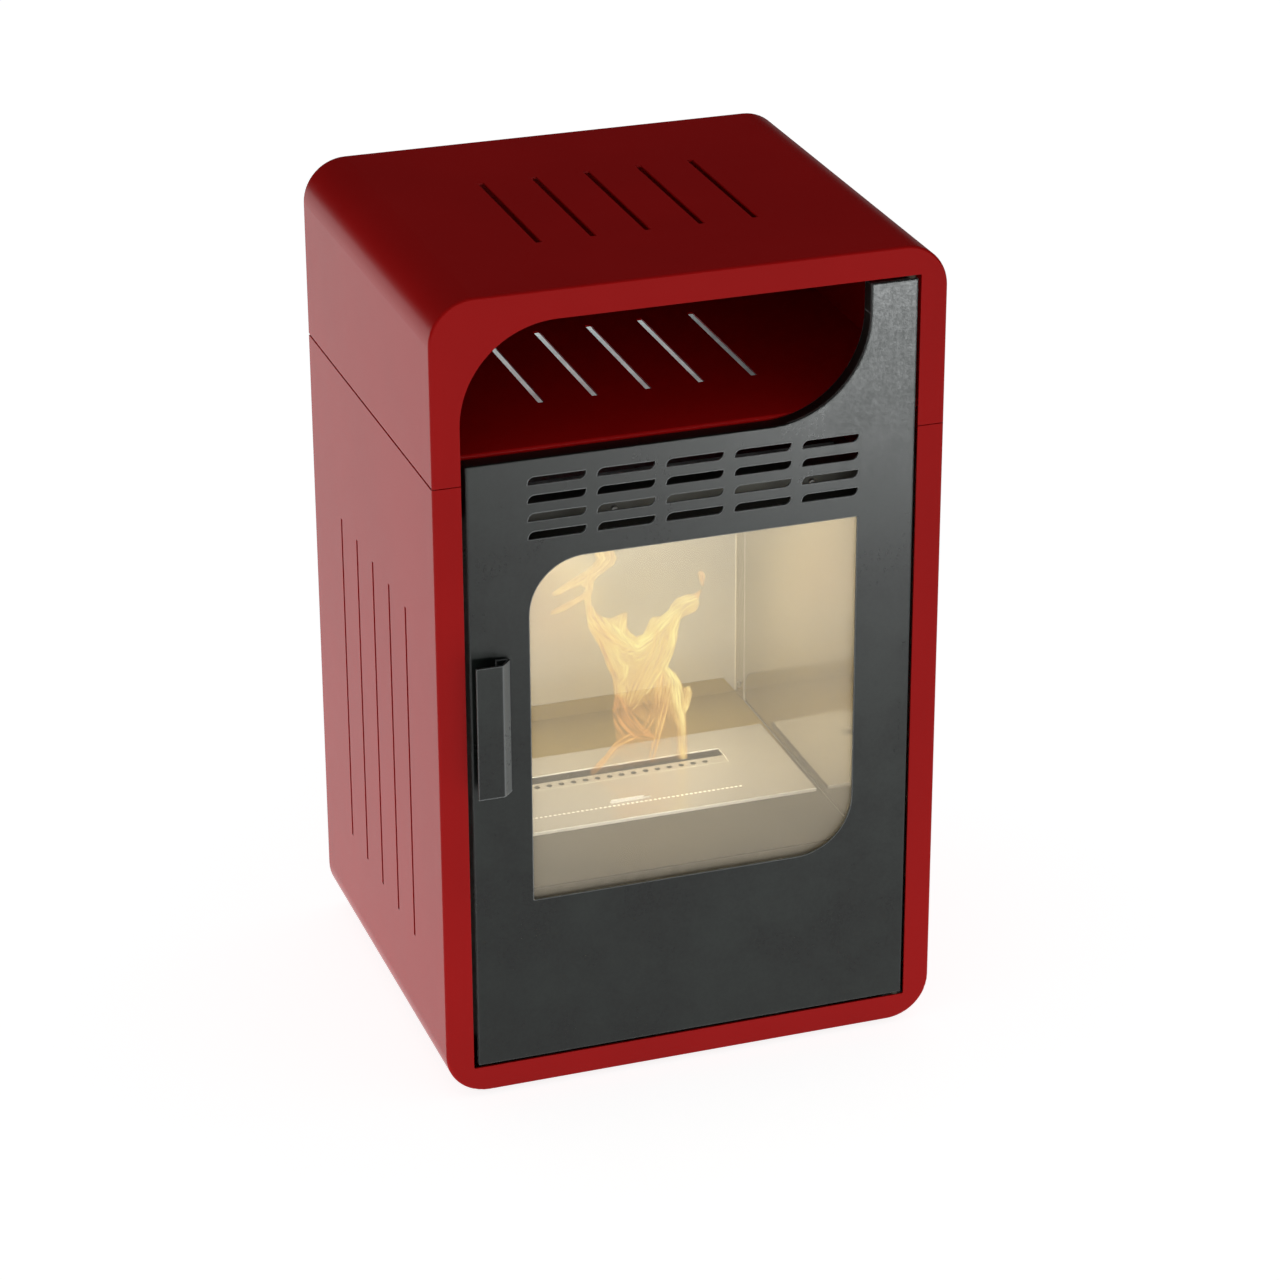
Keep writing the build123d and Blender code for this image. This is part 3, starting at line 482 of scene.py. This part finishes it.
def makeRearSheet():
    f, look = Finish("rearSheet"), rearSheet
    cloud, rub = f.patches(**redCoat["cloud"]), f.noise(**redCoat["rub"])
    top = look["bareBelow"] + look["bareFade"]
    low = f.band(f.part(f.place(), "Z"), look["bareBelow"], top, 1.0, 0.0)
    bare = f.band(f.part(f.facing(), "Y"), *look["bareTurn"], 1.0, 0.0) * low
    colour = f.blend(bare, f.toned(cloud, redCoat), f.toned(cloud, galvanised))
    rough = look["roughness"] + redCoat["rubRough"] * rub + look["bareRough"] * bare
    return f.surface(baseColour=colour, roughness=rough, specular=redCoat["specular"])


# zinc plated screws
zinc = {
    "colour": (0.66, 0.66, 0.63),
    "shadeColour": (0.48, 0.48, 0.46),
    "metallic": 0.95,
    "roughness": 0.28,
    "wear": {"scale": 420.0, "detail": 3.0},
    "wearRough": 0.12,
}


def makeZinc():
    f = Finish("zincScrew")
    wear = f.noise(**zinc["wear"])
    rough = zinc["roughness"] + zinc["wearRough"] * wear
    return f.surface(baseColour=f.toned(wear, zinc), roughness=rough, metallic=zinc["metallic"])


# window glass, with the milky veil that the photograph shows
windowGlass = {
    "colour": (0.80, 0.71, 0.54),
    "shadeColour": (0.74, 0.66, 0.51),
    "veil": 0.25,
    "roughness": 0.05,
    "specular": 0.5,
    "streak": {"scale": 9.0, "detail": 3.0, "stretch": (1.0, 1.0, 0.5)},
    "streakVeil": 0.04,
    "streakRough": 0.03,
}


def makeGlass():
    f, look = Finish("windowGlass"), windowGlass
    streak = f.noise(**look["streak"])
    veil = look["veil"] + look["streakVeil"] * streak
    rough = look["roughness"] + look["streakRough"] * streak
    return f.surface(baseColour=f.toned(streak, look), alpha=veil, roughness=rough,
                     specular=look["specular"])


# seal of the glass and wick of the burner, with strands across and finer fluff
fibre = {
    "sealTape": {"colour": (0.045, 0.043, 0.040), "strands": 500.0, "fluff": 1250.0},
    "wickWool": {"colour": (0.78, 0.75, 0.68), "strands": 300.0, "fluff": 750.0},
    "shade": 0.7,
    "stretch": (1.0, 1.0, 0.2),
    "strandDetail": 4.0,
    "strandShare": 0.6,
    "fluffDetail": 3.0,
    "fluffRough": 0.1,
    "roughness": 0.88,
    "depth": 0.0004,
    "bump": 0.7,
}


def makeFibre(name):
    f, look = Finish(name), fibre[name]
    strand = f.noise(look["strands"], fibre["strandDetail"], fibre["stretch"])
    fluff = f.noise(look["fluff"], fibre["fluffDetail"])
    tone = f.blend(strand, darker(look["colour"], fibre["shade"]), look["colour"])
    rough = fibre["roughness"] + fibre["fluffRough"] * fluff
    hairs = shared(strand, fluff, fibre["strandShare"])
    normal = f.bump(hairs, fibre["depth"], fibre["bump"])
    return f.surface(baseColour=tone, roughness=rough, normal=normal)


# turned and moulded small parts, and a sheet painted near black as painted shade
smallParts = {
    "turnedBronze": {
        "colour": (0.060, 0.048, 0.034), "rings": 200.0,
        "metallic": 0.6, "roughness": 0.48, "specular": 0.5},
    "mouldedPlastic": {
        "colour": (0.030, 0.030, 0.031), "rings": 300.0,
        "metallic": 0.0, "roughness": 0.46, "specular": 0.5},
    "footRubber": {
        "colour": (0.018, 0.018, 0.018), "rings": 260.0,
        "metallic": 0.0, "roughness": 0.72, "specular": 0.5},
    # near black as painted shade, where the vents over the window look in
    "blackenedSheet": {
        "colour": (0.010, 0.010, 0.009), "rings": 200.0,
        "metallic": 0.0, "roughness": 0.65, "specular": 0.08},
}

# faint rings of their making, the same on all of them but for their scale
smallRings = {
    "detail": 3.0,
    "stretch": (1.0, 1.0, 6.0),
    "shade": 0.72,
    "rough": 0.12,
    "depth": 0.00004,
    "bump": 0.5,
}


def makeSmall(name):
    f, look = Finish(name), smallParts[name]
    ring = f.noise(look["rings"], smallRings["detail"], smallRings["stretch"])
    tone = f.blend(ring, darker(look["colour"], smallRings["shade"]), look["colour"])
    normal = f.bump(ring, smallRings["depth"], smallRings["bump"])
    rough = look["roughness"] + smallRings["rough"] * ring
    return f.surface(baseColour=tone, roughness=rough, metallic=look["metallic"],
                     specular=look["specular"], normal=normal)


bySlot = {
    "red_coat": makeRedCoat(),
    "door_coat": makeDoorCoat("satinGreyCoat"),
    "stainless": makeSteel("brightSheet", wallSteel),
    "dark_sheet": makeDarkSheet(),
    "galvanised": makeGalvanised("galvanisedSheet"),
    "screw_zinc": makeZinc(),
    "clear_glass": makeGlass(),
    "seal_fibre": makeFibre("sealTape"),
    "wick_fibre": makeFibre("wickWool"),
    "bush_brass": makeSmall("turnedBronze"),
    "catch_plastic": makeSmall("mouldedPlastic"),
    "foot_rubber": makeSmall("footRubber"),
}
holedStrip = makeBurnerSteel("holedStrip", holed=True)
byNode = {
    "rear_panel": makeRearSheet(),
    "heat_deflector": makeGalvanised("sootySheet", shadedFront=True),
    "door_handle": makeDoorCoat("handleCoat", handle=True),
    "firebox_back": makeSteel("backSheet", wallSteel, mirrorSteel),
    "firebox_top": makeSteel("flangeSheet", flangeSteel),
    "firebox_crossbar": makeSmall("blackenedSheet"),
    "firebox_right_wall": makeSteel("mirrorSheet", mirrorSteel),
    "burner_plate": makeBurnerSteel("burnerPlate"),
    "flame_strip": holedStrip,
    "air_shutter": holedStrip,
}

slotOf = {part["node"]: part["material_slot"] for part in frame["record"]["subparts"]}
for name, piece in nodes.items():
    piece.data.materials.clear()
    piece.data.materials.append(byNode.get(name, bySlot[slotOf[name]]))
print("finishes on", len(nodes), "nodes")


# flame over the slot of the burner, in millimetres across and up
flame = {
    "plane": 30,
    "step": 2,
    "thick": 5,
    "fullFrom": 12,  # the sheet has its whole thickness this far inside the outline
    "overhang": 0.6,  # share of a step by which a kept cell may stand out before it is drawn in
    "sway": 4,
    "swayUp": 31,
    "swayAcross": 47,
    "softRim": 3.2,
    "thinnest": 0.1,  # keeps the front and the back of the sheet apart
    # what each point of the sheet knows: how far inside the outline it is, its heat and tone, and
    # its place across and along the nearest lick
    "fields": ("flameDepth", "flameHeat", "flameTone", "flameAcross", "flameAlong"),
    "glow": 1.48,
    "density": 0.90,
    # from a deep orange to nearly white
    "stops": [(0.0, (0.42, 0.15, 0.045)), (0.3, (0.88, 0.38, 0.11)), (0.6, (0.98, 0.64, 0.21)),
              (1.0, (1.0, 0.87, 0.33))],
    # fine streaks that follow the licks, and the tone and the density at none and what one adds
    "streak": {"across": 0.34, "along": 0.05, "detail": 3.0, "low": 0.32, "high": 0.68},
    "streakTone": (-0.18, 0.34),
    "streakDensity": (0.34, 0.80),
    "alongPiece": 12,  # how far the streaks run on along each straight piece of a lick
    "alongLick": 100,  # how far apart the streaks of two licks are
    # the tips are paler and the foot burns deeper, by height in metres
    "casts": [
        {"span": (0.36, 0.43), "share": (0.0, 0.35), "colour": (1.0, 0.84, 0.58)},
        {"span": (0.26, 0.35), "share": (0.30, 0.0), "colour": (0.90, 0.48, 0.09)},
    ],
    # how solid and how bright the sheet itself is, at heights between its foot and its tips
    "body": [(212, 0.06, 0.20), (238, 0.16, 0.22), (285, 0.26, 0.30), (305, 0.48, 0.54),
             (350, 0.64, 0.70), (400, 0.60, 0.68), (476, 0.52, 0.58)],
    # the edge of the fire: left tongue, notch, right tongue, right flank, foot, left flank
    "outline": [
        (-20, 476), (2, 472), (8, 459), (5, 450), (-5, 444), (-13, 439),
        (-17, 435), (-19, 426), (-21, 419), (-21, 411), (-17, 403), (-10, 396),
        (-2, 393), (8, 395), (19, 397), (18, 387), (18, 379), (21, 373),
        (27, 368), (34, 369), (39, 377), (42, 383), (46, 386), (55, 385),
        (63, 390), (66, 396), (73, 403), (82, 406), (92, 406), (99, 410),
        (96, 419), (93, 429), (98, 436), (104, 427), (103, 415), (100, 405),
        (98, 399), (99, 391), (95, 383), (84, 380), (78, 377), (76, 368),
        (74, 356), (69, 342), (62, 328), (70, 320), (76, 310), (79, 302),
        (86, 304), (89, 294), (85, 277), (82, 272), (83, 255), (85, 238),
        (86, 213), (-28, 212), (-26, 220),
        (-8, 233), (4, 248), (1, 268), (-1, 287), (1, 301), (-1, 314),
        (-2, 324), (-8, 338), (-12, 351), (-17, 364), (-23, 375), (-28, 386),
        (-29, 398), (-30, 410), (-31, 416), (-43, 411), (-57, 407), (-69, 406),
        (-68, 412), (-56, 416), (-43, 420), (-32, 424), (-29, 428), (-33, 432),
        (-45, 430), (-56, 426), (-66, 426), (-65, 431), (-56, 436), (-45, 441),
        (-35, 445), (-27, 449), (-20, 454), (-17, 459), (-18, 466),
    ],
    # brighter lines in the fire, with points of (across, up, half width). Heat is how solid a lick
    # is, and tone is where its colour lies on the stops
    "licks": [
        {"heat": 0.80, "tone": 0.62, "line": [
            (-10, 472, 9.8), (-5, 460, 7.4), (-12, 450, 5.2), (-23, 442, 4.2), (-24, 426, 3.4),
            (-25, 412, 3.2), (-23, 397, 4.6), (-15, 384, 7.0), (0, 371, 8.6), (14, 363, 8.2)]},
        {"heat": 0.78, "tone": 0.60, "line": [
            (-16, 448, 2.4), (-31, 441, 1.9), (-45, 435, 1.6), (-64, 428, 1.1)]},
        {"heat": 0.72, "tone": 0.58, "line": [
            (-24, 424, 2.0), (-35, 419, 1.6), (-49, 414, 1.4), (-67, 410, 0.9)]},
        {"heat": 0.72, "tone": 0.66, "line": [
            (18, 393, 2.0), (12, 384, 4.4), (10, 372, 6.4), (19, 360, 7.0)]},
        {"heat": 0.86, "tone": 0.86, "line": [
            (2, 381, 5.6), (14, 367, 6.4), (27, 359, 6.6), (41, 365, 6.2), (53, 376, 6.2),
            (69, 388, 5.8), (81, 396, 5.0), (93, 400, 3.0)]},
        {"heat": 0.44, "tone": 0.26, "line": [
            (99, 430, 2.4), (101, 418, 2.0), (100, 409, 1.4), (95, 402, 2.0)]},
        {"heat": 0.84, "tone": 0.80, "line": [
            (89, 393, 2.4), (79, 386, 4.2), (69, 367, 4.4), (69, 353, 3.6), (61, 339, 3.4),
            (53, 326, 3.0), (41, 314, 2.2), (35, 304, 1.6)]},
        {"heat": 0.74, "tone": 0.66, "line": [
            (71, 383, 1.8), (59, 362, 2.8), (53, 345, 3.1), (45, 327, 2.1), (35, 310, 1.6),
            (25, 291, 1.4), (21, 286, 0.8)]},
        {"heat": 0.68, "tone": 0.60, "line": [
            (49, 370, 2.5), (41, 347, 2.1), (29, 324, 1.6), (22, 306, 1.5), (16, 292, 0.8)]},
        {"heat": 0.80, "tone": 0.78, "line": [
            (2, 361, 2.8), (4, 342, 1.8), (13, 338, 1.2), (13, 326, 1.4), (7, 317, 2.5),
            (10, 306, 2.3), (5, 296, 1.6), (1, 284, 1.0)]},
        {"heat": 0.46, "tone": 0.50, "line": [
            (-16, 372, 2.4), (-8, 350, 2.0), (0, 328, 1.6), (3, 313, 1.6), (1, 301, 1.2)]},
        {"heat": 0.92, "tone": 0.50, "line": [
            (53, 322, 2.1), (50, 302, 1.6), (48, 283, 1.4), (41, 264, 1.2), (35, 255, 0.7)]},
        {"heat": 0.95, "tone": 0.50, "line": [
            (63, 314, 2.5), (59, 294, 1.9), (55, 270, 1.7), (50, 245, 1.5), (44, 218, 1.3)]},
        {"heat": 0.98, "tone": 0.96, "line": [
            (61, 327, 3.5), (67, 312, 6.2), (71, 296, 8.0), (72, 282, 7.4), (75, 269, 5.2),
            (78, 251, 3.0), (79, 234, 3.2), (80, 215, 3.5)]},
        {"heat": 0.92, "tone": 0.84, "line": [
            (84, 303, 1.6), (85, 294, 3.0), (82, 282, 3.1), (79, 272, 2.1)]},
        {"heat": 0.86, "tone": 0.44, "line": [
            (35, 256, 1.8), (21, 249, 2.6), (5, 242, 2.3), (-9, 228, 2.0), (-23, 215, 1.6)]},
        {"heat": 0.64, "tone": 0.08, "line": [
            (5, 298, 5.2), (7, 286, 8.8), (15, 270, 10.5), (27, 255, 8.8), (41, 249, 5.2)]},
    ],
}
farOff = 1e9


def nearestOn(x, z, pieces):
    # how far off the nearest of some straight pieces (ax, az, bx, bz) is, which it is, and where
    best = (farOff, 0, 0.0)
    for index, (ax, az, bx, bz) in enumerate(pieces):
        runX, runZ = bx - ax, bz - az
        share = ((x - ax) * runX + (z - az) * runZ) / (runX * runX + runZ * runZ)
        share = min(1.0, max(0.0, share))
        away = math.hypot(x - ax - share * runX, z - az - share * runZ)
        if away < best[0]:
            best = (away, index, share)
    return best


def straightPieces(points):
    return [(*a[:2], *b[:2]) for a, b in zip(points, points[1:])]


def insideOutline(x, z, pieces):
    crossed = 0
    for ax, az, bx, bz in pieces:
        if (az > z) != (bz > z):
            crossed += x < ax + (z - az) * (bx - ax) / (bz - az)
    return crossed % 2 == 1


def fireAt(x, z, licks):
    # heat, tone, place across the nearest lick and place along it
    rows = flame["body"]
    spans = zip(rows, rows[1:])
    low, high = next(pair for pair in spans if z <= pair[1][0] or pair[1] is rows[-1])
    share = min(1.0, max(0.0, (z - low[0]) / (high[0] - low[0])))
    heat, tone = (a + (b - a) * share for a, b in zip(low[1:], high[1:]))
    nearest, across, along = farOff, 0.0, 0.0
    for order, (lick, pieces) in enumerate(licks):
        away, index, share = nearestOn(x, z, pieces)
        half = lick["line"][index][2] * (1 - share) + lick["line"][index + 1][2] * share
        pull = math.exp(-(away / half) ** 2)
        if away / half < nearest:
            ax, az, bx, bz = pieces[index]
            nearest = away / half
            across = math.copysign(away, (bx - ax) * (z - az) - (bz - az) * (x - ax))
            along = (index + share) * flame["alongPiece"] + order * flame["alongLick"]
        tone = tone + (lick["tone"] - tone) * pull
        heat = max(heat, lick["heat"] * pull + heat * (1 - pull))
    return heat, tone, across, along


def makeFlame():
    # a grid is laid over the outline, and its outer corners are drawn in to the outline
    outline, step = flame["outline"], flame["step"]
    rim = straightPieces(outline + outline[:1])
    licks = [(lick, straightPieces(lick["line"])) for lick in flame["licks"]]
    left, right = min(x for x, z in outline) - step, max(x for x, z in outline) + step
    low, high = min(z for x, z in outline) - step, max(z for x, z in outline) + step
    columns, rows = int((right - left) / step) + 1, int((high - low) / step) + 1
    depth = {}
    for column in range(columns + 1):
        for row in range(rows + 1):
            x, z = left + column * step, low + row * step
            away, index, share = nearestOn(x, z, rim)
            depth[column, row] = (away if insideOutline(x, z, rim) else -away, index, share)
    kept, touching = [], {}
    for column in range(columns):
        for row in range(rows):
            ring = [(column + i, row + j) for i, j in ((0, 0), (1, 0), (1, 1), (0, 1))]
            depths = [depth[corner][0] for corner in ring]
            if min(depths) > -flame["overhang"] * step and max(depths) > 0:
                kept.append(ring)
                for corner in ring:
                    touching[corner] = touching.get(corner, 0) + 1
    verts, faces, front, back = [], [], {}, {}
    fields = {name: [] for name in flame["fields"]}

    def addPoint(x, y, z, inside):
        verts.append((x / 1000, y / 1000, z / 1000))
        for values, value in zip(fields.values(), (inside, *fireAt(x, z, licks))):
            values.append(value)
        return len(verts) - 1

    for corner, count in touching.items():
        x, z = left + corner[0] * step, low + corner[1] * step
        inside, index, share = depth[corner]
        wave = math.sin(z / flame["swayUp"] + x / flame["swayAcross"])
        y = flame["plane"] + flame["sway"] * wave
        if count < 4:
            ax, az, bx, bz = rim[index]
            x, z = ax + (bx - ax) * share, az + (bz - az) * share
            front[corner] = back[corner] = addPoint(x, y, z, 0.0)
        else:
            inner = max(inside, flame["thinnest"]) / flame["fullFrom"]
            half = flame["thick"] * min(1.0, inner) ** 0.5
            front[corner] = addPoint(x, y - half, z, inside)
            back[corner] = addPoint(x, y + half, z, inside)
    for ring in kept:
        faces.append([front[corner] for corner in ring])
        if any(front[corner] != back[corner] for corner in ring):
            faces.append([back[corner] for corner in reversed(ring)])
    mesh = bpy.data.meshes.new("flame")
    mesh.from_pydata(verts, [], faces)
    for name, values in fields.items():
        mesh.attributes.new(name, "FLOAT", "POINT").data.foreach_set("value", values)
    mesh.shade_smooth()
    mesh.materials.append(makeFire())
    piece = bpy.data.objects.new("flame", mesh)
    bpy.context.scene.collection.objects.link(piece)
    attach(piece, "cabinet")


def makeFire():
    f, streaks = Finish("flameGlow"), flame["streak"]
    inside, heat, tone, across, along = (
        f.node("ShaderNodeAttribute", {"attribute_name": name}, output="Fac")
        for name in flame["fields"])
    stream = {0: across * streaks["across"], 1: along * streaks["along"]}
    stream = f.node("ShaderNodeCombineXYZ", None, stream)
    streak = {"Vector": stream, "Scale": 1.0, "Detail": streaks["detail"]}
    streak = f.node("ShaderNodeTexNoise", None, streak, "Fac")
    streak = f.band(streak, streaks["low"], streaks["high"])
    toneFrom, toneMore = flame["streakTone"]
    tone = tone + toneFrom + toneMore * streak
    colour = f.node("ShaderNodeValToRGB", {"stops": flame["stops"]}, {"Fac": tone}, "Color")
    up = f.part(f.place(), "Z")
    for cast in flame["casts"]:
        colour = f.blend(f.band(up, *cast["span"], *cast["share"]), colour, cast["colour"])
    densityFrom, densityMore = flame["streakDensity"]
    solid = heat * (densityFrom + densityMore * streak)
    alpha = f.band(inside, 0.0, flame["softRim"]) * solid
    return f.surface(baseColour=(0.0, 0.0, 0.0), roughness=1.0, specular=0.0, emission=colour,
                     glow=flame["glow"], alpha=alpha * flame["density"])


makeFlame()
print("flame made")


# white floor, dim even light from above, and gleams for single pieces
white = (1.0, 1.0, 1.0)
doorPieces = ("door_panel", "door_edge_strips", "door_arc_strip", "door_handle")
studio = {
    "floorSize": 24.0,
    "floorColour": (0.50, 0.50, 0.50),
    "floorShade": 0.985,
    "floorCloud": {"scale": 0.8, "detail": 2.0},
    "floorLift": 0.875,
    # gloss finds the floor dark behind this corner, so the far shoulder of the hood has no pale rim
    "darkCorner": (0.2, 0.5),
    "softLight": 0.30,
    # white behind the stove, and what gloss finds at the horizon and above it
    "skyShown": white,
    "skyLow": (0.15, 0.15, 0.15),
    "skyHigh": (0.012, 0.012, 0.012),
    "skyClimb": 0.03,
    # flat lamps on the floor round the feet give the light that a white floor throws back
    "floorLampHeight": 0.003,
    "floorLamps": {
        "left": {"span": (-4.0, -0.263, -4.0, 4.0), "radiance": 1.04},
        "right": {"span": (0.263, 4.0, -4.0, 4.0), "radiance": 0.90},
        "front": {"span": (-0.263, 0.263, -4.0, -0.221), "radiance": 0.87},
        "back": {"span": (-0.263, 0.263, 0.237, 4.0), "radiance": 0.90},
    },
    # the door shines on its right, is hazy on its left, and the shelf catches a low light
    "gleams": {
        "doorGleam": {"at": (1.02, -2.16, 0.05), "look": (0.21, -0.2, 0.8),
                      "size": 0.36, "high": 0.26, "watts": 22.0, "colour": (0.96, 1.0, 1.0)},
        "doorHaze": {"at": (0.52, -2.10, 0.05), "look": (-0.1, -0.2, 0.72),
                     "size": 0.60, "high": 0.22, "watts": 3.2, "colour": (1.0, 1.0, 0.96)},
        "lipLamp": {"at": (0.0, -1.30, 0.745), "look": (0.0, -0.19, 0.69),
                    "size": 0.9, "high": 0.03, "watts": 1.6, "colour": white},
    },
    "gleamPieces": {
        "doorGleam": doorPieces,
        "doorHaze": doorPieces,
        "lipLamp": ("niche_shelf",),
    },
}


def seenDirectly(f):
    # 1 for what the camera sees, straight, in gloss or through glass
    rays = ("Is Camera Ray", "Is Glossy Ray", "Is Transmission Ray")
    straight, gloss, glass = (f.node("ShaderNodeLightPath", output=ray) for ray in rays)
    settings = {"operation": "ADD", "use_clamp": True}
    return f.node("ShaderNodeMath", settings, {0: straight + gloss, 1: glass})


def makeFloor():
    half = studio["floorSize"] / 2
    corners = [(-half, -half, 0), (half, -half, 0), (half, half, 0), (-half, half, 0)]
    mesh = bpy.data.meshes.new("studioFloor")
    mesh.from_pydata(corners, [], [(0, 1, 2, 3)])
    floor = bpy.data.objects.new("studioFloor", mesh)
    bpy.context.scene.collection.objects.link(floor)
    f = Finish("paleFloor")
    pale = studio["floorColour"]
    tone = f.blend(f.noise(**studio["floorCloud"]), darker(pale, studio["floorShade"]), pale)
    matt = f.node("ShaderNodeBsdfDiffuse", None, {"Color": tone})
    light = {"Color": white, "Strength": studio["floorLift"]}
    both = {0: matt, 1: f.node("ShaderNodeEmission", None, light)}
    both = f.node("ShaderNodeAddShader", None, both)
    far = [f.band(f.part(f.place(), axis), *studio["darkCorner"]) for axis in "XY"]
    hidden = far[0] * far[1] * f.node("ShaderNodeLightPath", output="Is Glossy Ray")
    shown = seenDirectly(f) * (1 - hidden)
    mixed = f.node("ShaderNodeMixShader", None, {0: shown, 1: matt, 2: both})
    mesh.materials.append(f.out(mixed))


def makeSky():
    f = Finish("studioSky", bpy.data.worlds)
    height = f.part(f.node("ShaderNodeTexCoord", output="Generated"), "Z")
    climb = f.band(height, 0.0, studio["skyClimb"])
    shown = f.blend(climb, studio["skyLow"], studio["skyHigh"])
    straight = f.node("ShaderNodeLightPath", output="Is Camera Ray")
    shown = f.blend(straight, shown, studio["skyShown"])
    soft = {"Color": white, "Strength": studio["softLight"]}
    soft = f.node("ShaderNodeBackground", None, soft)
    seen = f.node("ShaderNodeBackground", None, {"Color": shown})
    both = f.node("ShaderNodeMixShader", None, {0: seenDirectly(f), 1: soft, 2: seen})
    bpy.context.scene.world = f.out(both, "ShaderNodeOutputWorld")


def makeLamp(name, at, look, size, high, watts, colour):
    data = bpy.data.lights.new(name, "AREA")
    data.shape = "RECTANGLE"
    data.size = size
    data.size_y = high
    data.energy = watts
    data.color = colour
    lamp = bpy.data.objects.new(name, data)
    lamp.location = at
    lamp.rotation_euler = (Vector(look) - Vector(at)).to_track_quat("-Z", "Y").to_euler()
    lamp.visible_camera = False
    bpy.context.scene.collection.objects.link(lamp)
    return lamp


def hideInGloss(lamp):
    lamp.visible_glossy = False
    lamp.visible_transmission = False


def lightOnly(lamp, names):
    lit = bpy.data.collections.new(lamp.name + "Pieces")
    for name in names:
        lit.objects.link(nodes[name])
    lamp.light_linking.receiver_collection = lit


def makeFloorLamps():
    height = studio["floorLampHeight"]
    for side, lamp in studio["floorLamps"].items():
        x0, x1, y0, y1 = lamp["span"]
        x, y, wide, deep = (x0 + x1) / 2, (y0 + y1) / 2, x1 - x0, y1 - y0
        place = {"at": (x, y, height), "look": (x, y, 1.0), "size": wide, "high": deep}
        watts = math.pi * wide * deep * lamp["radiance"]
        hideInGloss(makeLamp(side + "FloorLamp", **place, watts=watts, colour=white))


makeFloor()
makeSky()
makeFloorLamps()
for name, gleam in studio["gleams"].items():
    lightOnly(makeLamp(name, **gleam), studio["gleamPieces"][name])


# warm light of the fire, and the light between the shelf and the firebox
fireLight = {
    "glow": {"at": (0.07, 0.03, 0.34), "radius": 0.06, "watts": 1.25, "colour": (1.0, 0.83, 0.47)},
    "wash": {"at": (0.015, -0.176, 0.44), "look": (0.0, 0.18, 0.46),
             "size": 0.26, "high": 0.20, "watts": 2.35, "colour": (1.0, 0.97, 0.88)},
    "slots": {"at": (0.0, 0.12, 0.685), "look": (0.0, 0.12, 0.60),
              "size": 0.30, "high": 0.20, "watts": 0.50, "colour": (0.86, 1.0, 0.99)},
    "slotPieces": ("heat_deflector", "deflector_screws", "rear_panel"),
}


def makeGlow(name, at, radius, watts, colour):
    data = bpy.data.lights.new(name, "POINT")
    data.energy = watts
    data.color = colour
    data.shadow_soft_size = radius
    lamp = bpy.data.objects.new(name, data)
    lamp.location = at
    lamp.visible_camera = False
    bpy.context.scene.collection.objects.link(lamp)
    return lamp


def makeFireLight():
    glow = makeGlow("fireGlow", **fireLight["glow"])
    wash = makeLamp("fireWash", **fireLight["wash"])
    slots = makeLamp("slotLight", **fireLight["slots"])
    lightOnly(slots, fireLight["slotPieces"])
    for lamp in (glow, wash, slots):
        hideInGloss(lamp)


makeFireLight()
print("studio and fire lit")


# camera at the photograph's place
cameraPlace = {
    "at": (-1.2529, -3.7065, 2.1681),
    "right": (0.94522427, -0.3264039, -0.00340058),
    "up": (0.13862076, 0.39195284, 0.90948186),
    "lens": 116.73,
    "sensor": 36.0,
}


def makeCamera():
    data = bpy.data.cameras.new("photoCamera")
    data.sensor_fit = "HORIZONTAL"
    data.sensor_width = cameraPlace["sensor"]
    data.lens = cameraPlace["lens"]
    camera = bpy.data.objects.new("photoCamera", data)
    bpy.context.scene.collection.objects.link(camera)
    right, up = Vector(cameraPlace["right"]), Vector(cameraPlace["up"])
    turn = Matrix((right, up, right.cross(up))).transposed().to_4x4()
    camera.matrix_world = Matrix.Translation(cameraPlace["at"]) @ turn
    bpy.context.scene.camera = camera


makeCamera()
bpy.context.scene.view_settings.view_transform = "Standard"
